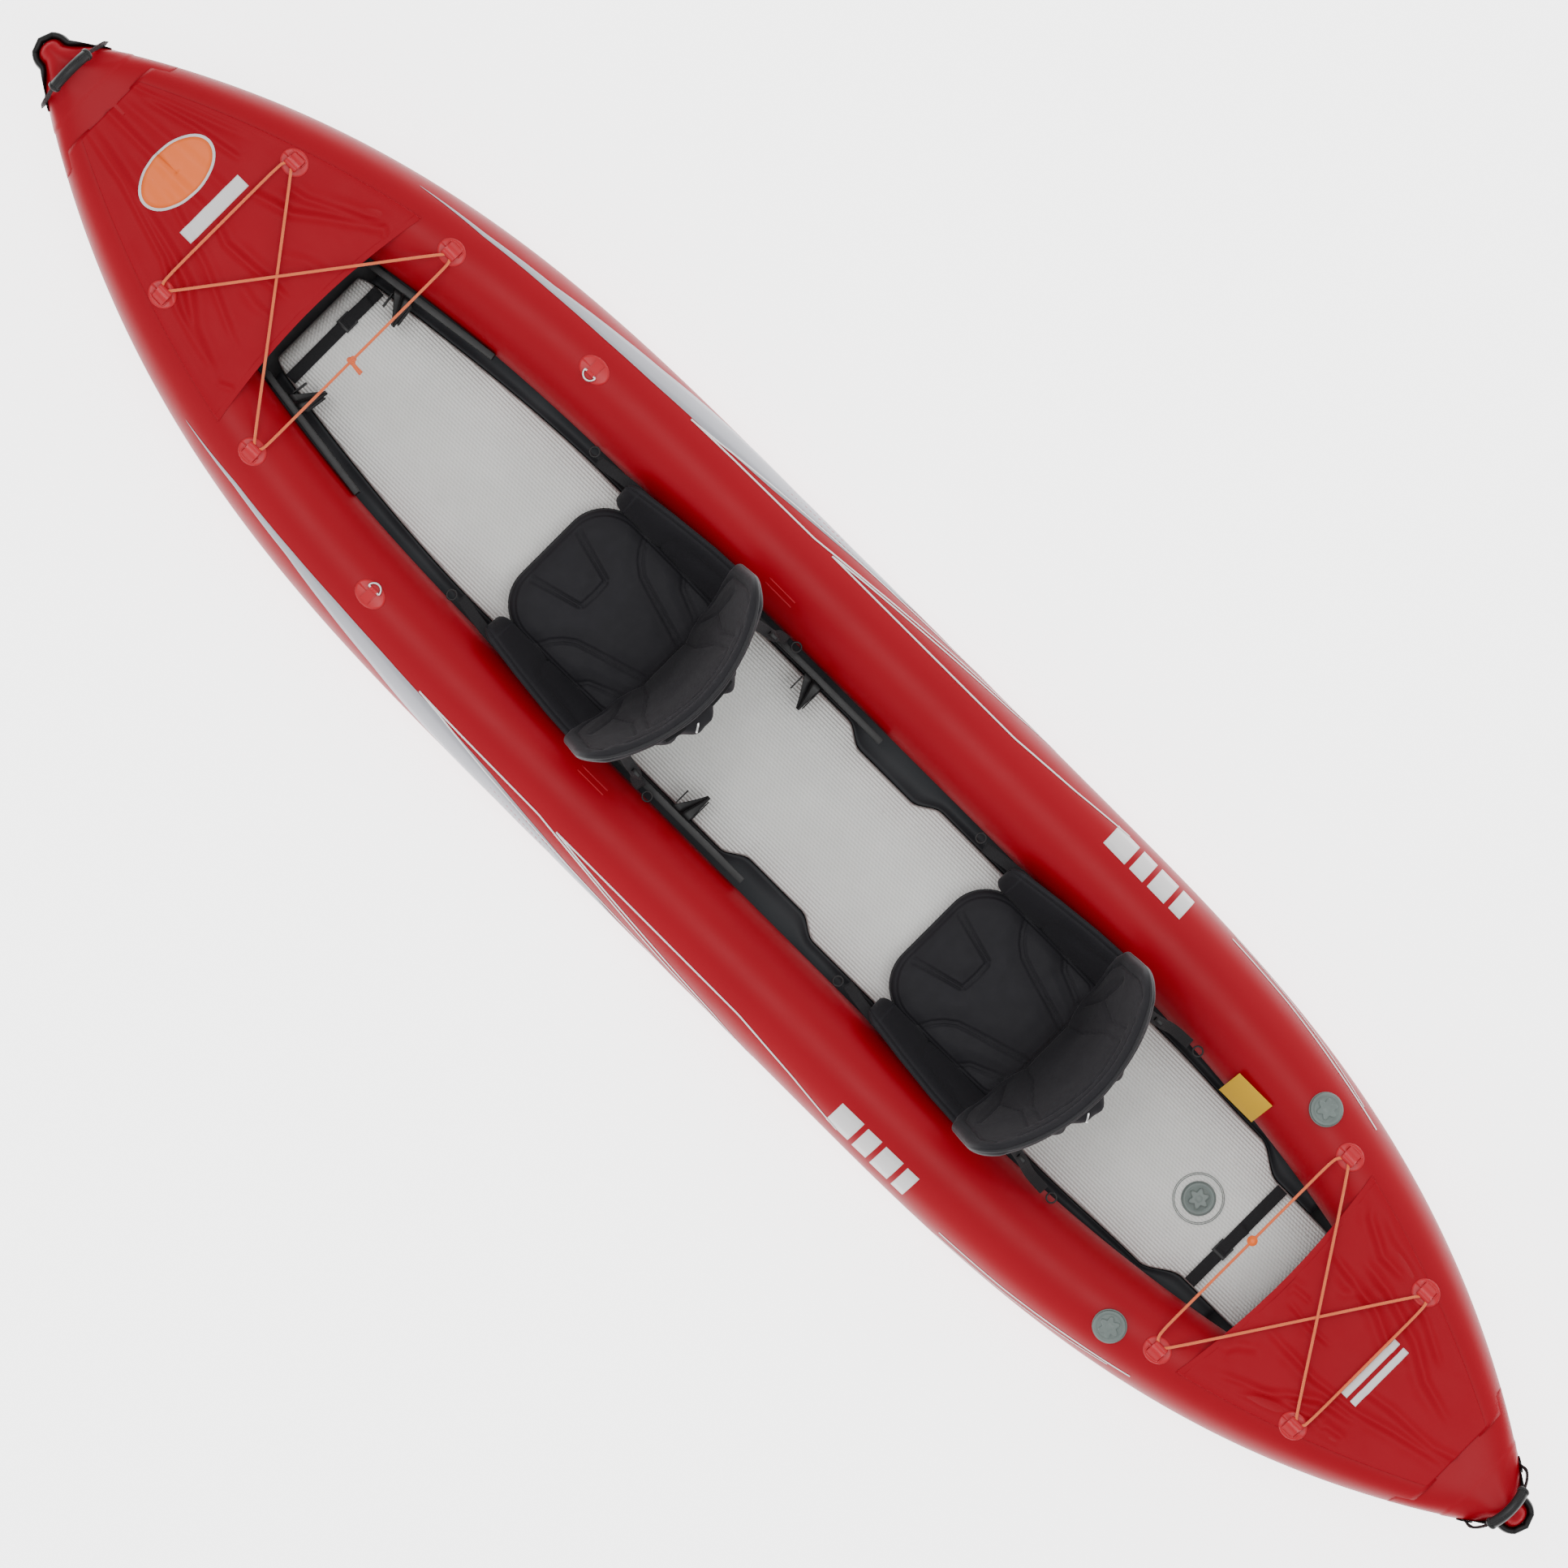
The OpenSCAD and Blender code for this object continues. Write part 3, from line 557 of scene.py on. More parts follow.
def bumper(end):
    """A moulded rubber edge that wraps the nose, thickest at its tip."""
    spots = [(end * d, outline(d)) for d in np.linspace(BUMPER_START - 0.004, 2.068, 34)]
    arc = spots + [(end * HALF_LENGTH, 0.0)] + [(x, -y) for x, y in reversed(spots)]
    rings = []
    for i, (x, y) in enumerate(arc):
        a, b = np.array(arc[max(0, i - 1)]), np.array(arc[min(len(arc) - 1, i + 1)])
        along = (b - a) / np.linalg.norm(b - a)
        out = np.array([along[1], -along[0]]) * (-end)
        if np.dot(out, (end, 0)) < 0 and abs(y) < 0.02:
            out = -out
        d = abs(x)
        thick = 0.002 + 0.013 * smooth((d - BUMPER_START) / 0.05)
        tall = 0.012 + 0.018 * smooth((d - BUMPER_START) / 0.03)
        mid = np.array([x, y]) - out * thick / 2
        ring = []
        for q in np.linspace(0, 2 * math.pi, 20, endpoint=False):
            c, s = superellipse(q, 3.0)
            at = mid + out * c * thick / 2
            ring.append((at[0], at[1], centre_z(end * 2.036) + s * tall))
        rings.append(ring)
    name = end_name(end) + "_bumper"
    return placed(ring_object(name + "_edge", rings, RUBBER), "hull", "black_rubber", name)


TUBE_SKINS = [tube_skin(side) for side in (1, -1)]
nose(1, 1.926)
nose(-1, 1.939)
bumper(1)
bumper(-1)

# ---- Decks: cloth stretched over the tube tops, with its folds ----

HEMS = {1: (1.326, 1.299), -1: (1.394, 1.371)}
DECK_END, DECK_WRAP = 1.876, 0.022
# Each fold: height, half-width, then its line from nose to hem
BOW_FOLDS = [
    (0.004, 0.009, [(1.955, 0.004), (1.72, 0.006), (1.57, 0.004)]),
    (0.0046, 0.008, [(1.6, 0.001), (1.534, 0.026), (1.45, 0.021), (1.353, 0.015)]),
    (0.005, 0.009, [(1.937, 0.04), (1.777, 0.07), (1.596, 0.113), (1.534, 0.132), (1.465, 0.186),
                     (1.409, 0.209), (1.333, 0.244)]),
    (0.0042, 0.007, [(1.93, 0.052), (1.763, 0.084), (1.6, 0.135), (1.51, 0.186), (1.42, 0.214),
                     (1.355, 0.212)]),
    (0.003, 0.007, [(1.8, 0.03), (1.66, 0.044), (1.53, 0.086), (1.41, 0.142), (1.35, 0.166)]),
    (0.0036, 0.008, [(1.95, -0.05), (1.86, -0.072), (1.721, -0.125), (1.631, -0.162)]),
    (0.0036, 0.007, [(1.86, -0.058), (1.74, -0.092), (1.636, -0.112), (1.62, -0.142)]),
    (0.0052, 0.01, [(1.6, -0.072), (1.485, -0.108), (1.416, -0.16), (1.34, -0.213), (1.312, -0.256)]),
    (0.004, 0.008, [(1.55, -0.134), (1.485, -0.148), (1.375, -0.205), (1.33, -0.24)]),
    (0.0026, 0.01, [(1.9, -0.026), (1.7, -0.048), (1.56, -0.052)]),
    (0.0024, 0.012, [(1.46, -0.02), (1.4, -0.062), (1.34, -0.074)]),
    (0.0022, 0.01, [(1.47, 0.06), (1.41, 0.072), (1.35, 0.066)]),
    (0.003, 0.007, [(1.345, -0.224), (1.318, -0.202)]),
    (0.003, 0.007, [(1.356, 0.236), (1.318, 0.216)]),
]
STERN_FOLDS = [
    (0.0046, 0.009, [(-1.84, -0.03), (-1.729, -0.062), (-1.662, -0.102), (-1.555, -0.135),
                     (-1.452, -0.149)]),
    (0.004, 0.008, [(-1.69, -0.05), (-1.622, -0.064), (-1.569, -0.089), (-1.48, -0.104), (-1.402, -0.115)]),
    (0.0046, 0.008, [(-1.6, -0.204), (-1.569, -0.209), (-1.489, -0.222), (-1.435, -0.249)]),
    (0.004, 0.008, [(-1.57, -0.176), (-1.5, -0.176), (-1.43, -0.214), (-1.405, -0.248)]),
    (0.0034, 0.008, [(-1.74, -0.098), (-1.64, -0.152), (-1.58, -0.16)]),
    (0.0036, 0.009, [(-1.94, -0.02), (-1.83, 0.02), (-1.72, 0.024), (-1.62, 0.042)]),
    (0.004, 0.008, [(-1.92, 0.036), (-1.86, 0.03), (-1.76, 0.052), (-1.67, 0.078), (-1.57, 0.09),
                     (-1.402, 0.085)]),
    (0.005, 0.009, [(-1.72, 0.08), (-1.675, 0.098), (-1.609, 0.111), (-1.555, 0.151), (-1.489, 0.208),
                     (-1.44, 0.24)]),
    (0.004, 0.008, [(-1.66, 0.124), (-1.63, 0.142), (-1.58, 0.16), (-1.5, 0.186), (-1.42, 0.226)]),
    (0.0036, 0.008, [(-1.7, 0.13), (-1.655, 0.138), (-1.64, 0.158)]),
    (0.0026, 0.006, [(-1.56, 0.021), (-1.5, 0.024), (-1.419, 0.017)]),
    (0.0026, 0.006, [(-1.419, 0.017), (-1.417, -0.008), (-1.47, -0.012)]),
    (0.003, 0.01, [(-1.48, -0.055), (-1.52, -0.095), (-1.57, -0.098)]),
    (0.0026, 0.01, [(-1.46, 0.12), (-1.42, 0.15), (-1.4, 0.19)]),
]


def fold_height(points, folds):
    """How far the folds lift the cloth. Each is a soft ridge with a shallow hollow beside it."""
    height = np.zeros(len(points))
    for rise, width, line in folds:
        line = np.array(line)
        nearest = np.full(len(points), 9.0)
        offset = np.zeros(len(points))
        run = np.zeros(len(points))
        lengths = np.linalg.norm(np.diff(line, axis=0), axis=1)
        total = lengths.sum()
        for k, (a, b) in enumerate(zip(line[:-1], line[1:])):
            d = b - a
            t = np.clip(((points - a) @ d) / (d @ d), 0, 1)
            gap = points - (a + t[:, None] * d)
            far = np.linalg.norm(gap, axis=1)
            closer = far < nearest
            nearest = np.where(closer, far, nearest)
            sign = np.sign(d[0] * gap[:, 1] - d[1] * gap[:, 0])
            offset = np.where(closer, far * sign, offset)
            run = np.where(closer, (lengths[:k].sum() + t * lengths[k]) / total, run)
        fade = np.clip(np.minimum(run, 1 - run) / 0.22, 0, 1)
        fade = fade * fade * (3 - 2 * fade)
        ridge = np.exp(-(offset / width) ** 2) - 0.55 * np.exp(-((offset - 1.9 * width) / (1.5 * width)) ** 2)
        off_end = np.exp(-np.maximum(0, nearest - np.abs(offset)) / width)
        height += rise * ridge * fade * off_end
    return height


def soft_noise(points, scale, seed):
    """Smooth random height from a few waves in random directions."""
    draw = random.Random(seed)
    value = np.zeros(len(points))
    for _ in range(14):
        a, pitch, shift = draw.uniform(0, math.tau), scale * draw.uniform(0.6, 1.6), draw.uniform(0, math.tau)
        value += np.sin((points @ np.array([math.cos(a), math.sin(a)])) * math.tau / pitch + shift)
    return value / 5


def deck(end, folds, seed):
    mid, side = HEMS[end]
    spots = []
    rows, cols = 150, 151
    for u in np.linspace(0, 1, rows) ** 0.92:
        for v in np.linspace(-1, 1, cols):
            x = mid + (side - mid) * v * v + u * (DECK_END - mid - (side - mid) * v * v)
            reach = tube_y(end * x) + DECK_WRAP * (1 - 0.75 * u)
            y = v * reach
            t = tube_y(end * x)
            if abs(y) > t:
                z = centre_z(end * x) + math.sqrt(tube_r(x * end) ** 2 - (abs(y) - t) ** 2)
                loose = 0.0
            else:
                loose = 1 - (y / t) ** 4
                z = top_z(end * x) - 0.005 * loose * smooth((DECK_END - x) / 0.25)
            spots.append((end * x, y, z + 0.0011, loose, min(1.0, (x - mid) / 0.05)))
    spots = np.array(spots)
    plan = spots[:, :2]
    loose = np.clip(spots[:, 3] * 2.2, 0, 1)
    lift = fold_height(plan, folds) * (0.25 + 0.75 * loose)
    crumple = soft_noise(plan, 0.045, seed) * 0.0007 + soft_noise(plan, 0.14, seed + 1) * 0.0011
    near_hem = np.exp(-np.maximum(0, np.abs(plan[:, 0]) - mid) / 0.18)
    lift += crumple * loose * (0.35 + 0.65 * near_hem)
    z = spots[:, 2] + np.maximum(lift, -0.004 * loose)
    grid = [[(plan[i, 0], plan[i, 1], z[i]) for i in range(r * cols, (r + 1) * cols)] for r in range(rows)]
    name = end_name(end) + "_deck"
    obj = sheet_object(name + "_cloth", grid, DECK_RED, 0.0009)
    placed(obj, "hull", "deck_skin", name)
    hem_points = [(p[0], p[1], p[2] + 0.0009) for p in grid[0]]
    hem = strap_object(name + "_hem", [(p[0] + end * 0.006, p[1], p[2]) for p in hem_points[1:-1]], 0.013,
                       DECK_RED, 0.0016)
    placed(hem, "hull", "deck_skin")
    return obj


BOW_DECK = deck(1, BOW_FOLDS, 11)
STERN_DECK = deck(-1, STERN_FOLDS, 23)

# ---- Bottom: one skin under the boat, with taped seams ----

CHINE_W, FLAT_BOW, FLAT_STERN = 0.04, 1.336, -1.46


def bottom_height(x, v):
    """Height of the underside. v runs from -1 to 1 between the undersides of the two tubes."""
    rise_to_tube = centre_z(x) - tube_r(x) - 0.0016
    if FLAT_STERN <= x <= FLAT_BOW:
        edge = 1 - CHINE_W / tube_y(x)
        run = max(0.0, (abs(v) - edge) / (1 - edge))
        return rise_to_tube * run * run
    start = FLAT_BOW if x > 0 else FLAT_STERN
    first = centre_z(start) - tube_r(start) - 0.0016
    drop = first + (0.02 - first) * (x - start) / (math.copysign(DECK_END, start) - start)
    blend = smooth(abs(x - start) / 0.06)
    power = 6
    flat = rise_to_tube - drop * (1 - abs(v) ** power)
    edge = 1 - CHINE_W / tube_y(x) if tube_y(x) > 0.06 else 0.4
    run = max(0.0, (abs(v) - edge) / (1 - edge))
    bed = (rise_to_tube - drop) + drop * run * run
    return bed + (flat - bed) * blend


bottom = []
for x in np.linspace(-DECK_END, DECK_END, 260):
    row = []
    for v in np.sin(np.linspace(-math.pi / 2, math.pi / 2, 61)):
        tape = 0.0008 if 0.855 < abs(v) < 0.9 or abs(v) < 0.02 else 0.0
        row.append((x, v * tube_y(x), max(0.0002, bottom_height(x, v) - tape) + 0.0007))
    bottom.append(row)
placed(sheet_object("bottom_skin_cloth", bottom, BOTTOM, 0.0012), "hull", "bottom_skin",
       "bottom_sheet", "chine_strips", "bottom_end_panels")
softened("fin_box", 0.0012, PLASTIC, "black_plastic")

# ---- Floor: a firm slab with rounded side walls and a knitted top ----


def floor_edge(x):
    waist = 0.028 * smooth(-x / 0.06) * smooth((x + 0.265) / 0.06)
    bow = 0.061 * (max(0.0, x - 0.7) / 0.62) ** 1.6
    return 0.183 - waist - bow - 0.008 * smooth((-0.9 - x) / 0.28) - 0.04 * smooth((-1.18 - x) / 0.085)


def floor_slab():
    """Cross-sections with rounded sides, shrinking to a rounded roll at each end."""
    half_t = (FLOOR_TOP - FLOOR_LOW) / 2
    mid_z = (FLOOR_TOP + FLOOR_LOW) / 2
    rings = []
    steps = np.concatenate([FLOOR_STERN + 0.05 * (1 - np.cos(np.linspace(0, math.pi / 2, 12))),
                            np.linspace(FLOOR_STERN + 0.055, FLOOR_BOW - 0.055, 330),
                            FLOOR_BOW - 0.05 * (1 - np.cos(np.linspace(math.pi / 2, 0, 12)))])
    for x in steps:
        near_end = min(x - FLOOR_STERN, FLOOR_BOW - x)
        roll = math.sqrt(max(0.0, 1 - (1 - min(1.0, near_end / 0.05)) ** 2))
        ring = []
        for a in np.linspace(0, 2 * math.pi, 120, endpoint=False):
            c, s = math.cos(a), math.sin(a)
            y = math.copysign(abs(c) ** 0.3, c)
            z = math.copysign(abs(s) ** 0.42, s)
            if abs(a % math.pi - math.pi / 2) < 1.15:
                y = c / math.cos(math.pi / 2 - 1.15) * abs(math.cos(math.pi / 2 - 1.15)) ** 0.3
            half = floor_edge(x) - 0.01 * (1 - roll)
            wave = 0.0006 * math.sin(x * 21 + 2.0 * y) * math.sin(x * 9.3) * (1 if s > 0 else 0)
            ring.append((x, half * y, mid_z + (half_t * (0.12 + 0.88 * roll) - 0.0008) * z + wave))
        rings.append(ring)
    obj = ring_object("floor_slab", rings, FLOOR_TOP_CLOTH)
    obj.data.materials.append(FLOOR_SIDE)
    for polygon in obj.data.polygons:
        if polygon.normal.z < 0.55:
            polygon.material_index = 1
    return placed(obj, "hull", "floor_skin", "drop_stitch_floor")


floor_slab()
for side in (1, -1):
    rows = []
    for x in np.linspace(-1.36, 1.3, 220):
        reach = tube_y(x) - math.sqrt(max(1e-6, tube_r(x) ** 2 - (centre_z(x) - 0.08) ** 2)) - 0.001
        edge = min(floor_edge(x) + 0.002, reach - 0.003)
        wave = 0.003 * math.sin(x * 31 + side) * math.sin(x * 12.7)
        rows.append([(x, side * (edge + (reach - edge) * t),
                      0.072 + 0.01 * t - (0.012 + wave) * math.sin(math.pi * t))
                     for t in np.linspace(0, 1, 9)])
    flap = sheet_object(side_name(side) + "_floor_sleeve", rows, SLEEVE, 0.0012)
    placed(flap, "hull", "sleeve_cloth", "floor_sleeves")

# ---- Seats: padded cushion, side wings, curved backrest with a pouch behind ----


def near_lines(points, lines):
    """Distance in plan from each point to the nearest of the lines."""
    nearest = np.full(len(points), 9.0)
    for line in lines:
        for a, b in zip(np.array(line[:-1]), np.array(line[1:])):
            d = b - a
            t = np.clip(((points - a) @ d) / (d @ d), 0, 1)
            nearest = np.minimum(nearest, np.linalg.norm(points - (a + t[:, None] * d), axis=1))
    return nearest


def doubled(line, gap=0.0078):
    """The two lines of a sewn channel."""
    line = np.array(line, float)
    t = np.gradient(line, axis=0)
    t /= np.linalg.norm(t, axis=1)[:, None]
    off = np.stack([-t[:, 1], t[:, 0]], axis=1) * gap / 2
    return [line + off, line - off]


def channels():
    lines = []
    for sign in (1, -1):
        lines += doubled([(0.316, 0.066 * sign), (0.209, 0.037 * sign)])
        curve = [(0.212, 0.153 * sign), (0.199, 0.128 * sign), (0.184, 0.11 * sign), (0.163, 0.094 * sign),
                 (0.13, 0.083 * sign), (0.004, 0.046 * sign)]
        lines += doubled(curve)
        lines += doubled([(0.102, 0.152 * sign), (0.087, 0.134 * sign), (0.02, 0.106 * sign)])
    lines += doubled([(0.2055, 0.034), (0.2035, 0.0), (0.2055, -0.034)], 0.006)
    return lines


def sewn(points, lines, depth=0.0048, width=0.0024, puff=0.0045, reach=0.02):
    """Height of padded cloth: pressed in along its seams and puffed between them."""
    d = near_lines(points, lines)
    return -depth * np.exp(-(d / width) ** 2) + puff * (1 - np.exp(-(d / reach) ** 2)) - puff


def cushion_outline(count):
    front_r, rear_r = 0.084, 0.03
    spots = [(rear_r - rear_r * math.cos(a), CUSHION_HALF - rear_r + rear_r * math.sin(a))
             for a in np.linspace(0, math.pi / 2, 12)]
    spots += [(CUSHION_LEN - front_r + front_r * math.sin(a), CUSHION_HALF - front_r + front_r * math.cos(a))
              for a in np.linspace(0, math.pi / 2, 24)]
    spots = np.array(spots + [(x, -y) for x, y in reversed(spots)] + [spots[0]])
    run = np.concatenate([[0], np.cumsum(np.linalg.norm(np.diff(spots, axis=0), axis=1))])
    at = np.linspace(0, run[-1], count, endpoint=False)
    out = np.stack([np.interp(at, run, spots[:, k]) for k in range(2)], axis=1)
    bow_out = 0.003 * np.sin(np.pi * np.clip(out[:, 0] / CUSHION_LEN, 0, 1))
    out[:, 1] += np.tanh(out[:, 1] / 0.03) * (bow_out - 0.003)
    return out


def seat_cushion(which):
    x0, count = SEAT_X[which], 300
    edge = cushion_outline(count)
    centre = np.array([CUSHION_LEN / 2, 0.0])
    low, high = SEAT_Z + 0.0006, CUSHION_TOP - 0.001
    tall = high - low
    profile = [(s, 1.0) for s in np.linspace(0.015, 0.93, 64)]
    profile += [(0.93 + 0.075 * math.sin(a), 1 - 0.46 * (1 - math.cos(a)))
                for a in np.linspace(0.12, math.pi / 2, 10)]
    profile += [(1.004, 0.4), (1.0, 0.28), (0.988, 0.12), (0.965, 0.03), (0.93, 0.0), (0.5, 0.0), (0.02, 0.0)]
    lines = channels()
    rings = []
    for s, level in profile:
        plan = centre + (edge - centre) * s
        z = np.full(count, low + tall * level)
        if level == 1.0:
            crown = 0.01 * (1 - s ** 2.6)
            ripple = soft_noise(plan, 0.09, 5 if which == "front" else 9) * 0.0006
            z = high - 0.01 + crown - 0.004 * smooth((s - 0.8) / 0.2) + sewn(plan, lines) + 0.0018 + ripple
        elif level > 0.5:
            z = z - 0.0145 * (level - 0.54) / 0.46 + sewn(plan, lines) * (level - 0.54) / 0.46
        rings.append([(x0 + p[0], p[1], zz) for p, zz in zip(plan, z)])
    body = ring_object(which + "_seat_cushion_pad", rings, SEAT)
    placed(body, "hull", "seat_cloth", which + "_seat_cushion")
    pipe = [(x0 + (centre + (p - centre) * 1.006)[0], (centre + (p - centre) * 1.006)[1], low + tall * 0.54)
            for p in list(edge[::3]) + [edge[0]]]
    placed(cord_object(which + "_seat_cushion_piping", pipe, 0.0026, PIPING, 10), "hull", "seat_cloth")


def wing_top(u):
    """How far out the wing's top edge stands, from rear to front."""
    return through(u, (0.012, 0.1, 0.2, 0.309), (0.237, 0.232, 0.221, 0.206))


def seat_wing(which, side):
    x0 = SEAT_X[which]
    front, rear = 0.309, 0.012
    foot = np.array([0.158, SEAT_Z + 0.034])
    rings = []
    lines = [[(0.18, 0.15 * side), (0.176, 0.176 * side), (0.159, 0.187 * side), (0.1, 0.193 * side),
              (0.04, 0.199 * side)]]
    rim = [(u, side * (wing_top(u) - 0.013)) for u in np.linspace(rear, front, 20)]
    lines.append(rim)
    rounding = front - 0.029 * (1 - np.sin(np.linspace(0, math.pi / 2, 14)))
    for u in np.concatenate([np.linspace(rear, 0.28, 70), rounding]):
        top_y = wing_top(u)
        top = np.array([top_y, 0.236 - 0.01 * smooth((u - 0.18) / 0.12)])
        mid, half = (foot + top) / 2, np.linalg.norm(top - foot) / 2
        along = (top - foot) / (2 * half)
        out = np.array([-along[1], along[0]])
        nose_cut = math.sqrt(max(0.0, 1 - max(0.0, (u - 0.28) / 0.0295) ** 2))
        half *= 0.45 + 0.55 * nose_cut
        thick = 0.0098 * (0.25 + 0.75 * nose_cut)
        ring = []
        for a in np.linspace(0, 2 * math.pi, 84, endpoint=False):
            c, s = superellipse(a, 3.4)
            bulge = 0.0022 * (1 - c * c)
            at = mid + along * half * c + out * ((thick + bulge) * s)
            plan = np.array([[u, side * at[0]]])
            if s > 0.15:
                at = at + out * float(sewn(plan, lines, 0.0032, 0.0022, 0.0022, 0.016)[0])
            wave = 0.0012 * math.sin(41 * u + 3 * c + side) * (1 - abs(c))
            ring.append((x0 + u, side * at[0], at[1] + wave))
        rings.append(ring)
    wing = ring_object(f"{which}_seat_wing_{side_name(side)}", rings, SEAT)
    placed(wing, "hull", "seat_cloth", which + "_seat_wings")


def at_back(which, p):
    """A point of the backrest's own frame, which leans aft from its hinge."""
    x, y, z = p
    hx, hz = SEAT_X[which] + HINGE_AFT, HINGE_Z
    return (hx + x * math.cos(BACK_LEAN) - z * math.sin(BACK_LEAN), y,
            hz + x * math.sin(BACK_LEAN) + z * math.cos(BACK_LEAN))


def back_half(z):
    """Half-width of the backrest at each height, with rounded shoulders."""
    if z > BACK_H - 0.072:
        return 0.186 + 0.06 * math.sqrt(max(0.0, 1 - ((z - BACK_H + 0.072) / 0.072) ** 2))
    return through(z, (0.006, 0.045, 0.084, 0.12, 0.16, 0.278), (0.112, 0.165, 0.208, 0.231, 0.245, 0.246))


def seat_back(which):
    rows, cols, low = 92, 150, 0.008
    heights = low + (BACK_H - low) * (1 - (1 - np.linspace(0, 1, rows)) ** 1.25)
    lines = []
    for sign in (1, -1):
        lines += [[(0.06 * sign, 0.012), (0.07 * sign, 0.1), (0.104 * sign, 0.205), (0.112 * sign, 0.3)],
                  [(0.116 * sign, 0.04), (0.15 * sign, 0.12), (0.206 * sign, 0.196)],
                  [(0.15 * sign, 0.12), (0.128 * sign, 0.21), (0.14 * sign, 0.3)]]
    lines.append([(-0.112, 0.3), (0.0, 0.309), (0.112, 0.3)])
    border = [(back_half(z) - 0.021, z) for z in np.linspace(0.05, BACK_H - 0.021, 30)]
    lines += [border, [(-y, z) for y, z in border], [(0.166, BACK_H - 0.022), (-0.166, BACK_H - 0.022)]]
    across = np.sin(np.linspace(-1, 1, cols) * 1.35) / math.sin(1.35)
    spots = np.array([[v * back_half(z), z] for z in heights for v in across])
    side_gap = np.array([back_half(z) for z in heights for _ in range(cols)]) - np.abs(spots[:, 0])
    edge = np.minimum(side_gap, np.minimum(BACK_H - spots[:, 1], spots[:, 1] - low))
    roll = np.sqrt(np.clip(1 - (1 - np.clip(edge / 0.013, 0, 1)) ** 2, 0, 1))
    press = sewn(spots, lines, 0.004, 0.0026, 0.0045, 0.022)
    crease = soft_noise(spots, 0.11, 31 if which == "front" else 37) * 0.001
    points, base = [], len(spots)
    mid_r = BACK_R + BACK_T / 2
    for sign in (-1, 1):
        for i, (y, z) in enumerate(spots):
            swell = (0.0125 + (press[i] + 0.0045 + crease[i] if sign < 0 else crease[i] * 1.5)) * roll[i]
            r = mid_r + sign * swell
            turn = math.asin(min(0.95, abs(y) / mid_r)) * (1 if y > 0 else -1)
            points.append(at_back(which, (BACK_R - r * math.cos(turn), r * math.sin(turn), z)))
    faces = []
    for r in range(rows - 1):
        for c in range(cols - 1):
            q = (r * cols + c, r * cols + c + 1, (r + 1) * cols + c + 1, (r + 1) * cols + c)
            faces += [q, tuple(base + k for k in reversed(q))]
    obj = mesh_object(which + "_seat_back_pad", points, faces, SEAT)
    weld = obj.modifiers.new("weld", "WELD")
    weld.merge_threshold = 0.00012
    applied(obj)
    placed(outward(obj), which + "_seat_back", "seat_cloth", which + "_seat_back")
    rim = [(back_half(z), z) for z in np.linspace(0.02, BACK_H - 0.004, 46)]
    rim += [(y, BACK_H) for y in np.linspace(0.18, -0.18, 40)] + [(-y, z) for y, z in reversed(rim)]
    path = []
    for y, z in rim:
        turn = math.asin(y / (mid_r + 0.004))
        r = mid_r + 0.001
        path.append(at_back(which, (BACK_R - r * math.cos(turn), r * math.sin(turn), z)))
    placed(cord_object(which + "_seat_back_piping", rounded_path(path, 0.008, 1), 0.004, PIPING, 10),
           which + "_seat_back", "seat_cloth")


def seat_pouch(which):
    """A slack zipped bag hung on the back of the seat."""
    shift = 0.0 if which == "front" else 0.006
    rings = []
    for t in np.linspace(-1, 1, 54):
        y = 0.018 + 0.11 * math.copysign(abs(math.sin(t * math.pi / 2)) ** 0.9, t)
        closing = math.sqrt(max(0.0, 1 - abs(t) ** 3.2))
        turn = math.asin(y / (BACK_R + BACK_T))
        face_x = BACK_R - (BACK_R + BACK_T + 0.001) * math.cos(turn)
        ring = []
        for a in np.linspace(0, 2 * math.pi, 64, endpoint=False):
            c, s = superellipse(a, 3.0)
            fat = 0.02 + 0.009 * math.sin(3.1 * y / 0.05 + shift * 90)
            x = face_x - 0.022 - 0.005 * math.sin(31 * y) + c * fat * closing
            z = 0.198 + s * (0.072 + 0.006 * math.sin(27 * y + 1)) * (0.25 + 0.75 * closing)
            fold = 0.0035 * math.sin(70 * z + 55 * y) + 0.0028 * math.sin(120 * y - 48 * z + 1.3)
            share = 1 if c < 0 else 0.2
            ring.append(at_back(which, (x - fold * share, y + 0.003 * math.sin(60 * z), z + fold)))
        rings.append(ring)
    bag = placed(ring_object(which + "_seat_pouch_bag", rings, POUCH), which + "_seat_back", "seat_cloth",
                 which + "_seat_pouch")
    zipper = [at_back(which, (BACK_R - (BACK_R + BACK_T) * math.cos(y / 0.38) - 0.024, y, 0.2715))
              for y in np.linspace(-0.07, 0.105, 30)]
    placed(strap_object(which + "_pouch_zipper", zipper, 0.007, WEBBING, 0.003),
           which + "_seat_back", "seat_cloth")
    tab = [at_back(which, (-0.052, 0.032, 0.274)), at_back(which, (-0.058, 0.04, 0.276)),
           at_back(which, (-0.066, 0.05, 0.272))]
    placed(strap_object(which + "_zip_puller", rounded_path(tab, 0.003, 1), 0.004, STEEL, 0.0016),
           which + "_seat_back", "seat_cloth")


POUCH = seat_material()
POUCH.name = "pouch_cloth"
PIPING = coated_cloth("seat_piping", (0.01, 0.01, 0.012), 0.55)
for which in ("front", "rear"):
    seat_cushion(which)
    seat_wing(which, 1)
    seat_wing(which, -1)
    seat_back(which)
    seat_pouch(which)

# ---- Printed shapes and small parts that lie on the skin ----


def surface_tree(objects):
    points, faces = [], []
    for obj in objects:
        base = len(points)
        points += [v.co.copy() for v in obj.data.vertices]
        faces += [[base + k for k in p.vertices] for p in obj.data.polygons]
    return BVHTree.FromPolygons(points, faces)


LAND = surface_tree(TUBE_SKINS + [BOW_DECK, STERN_DECK])


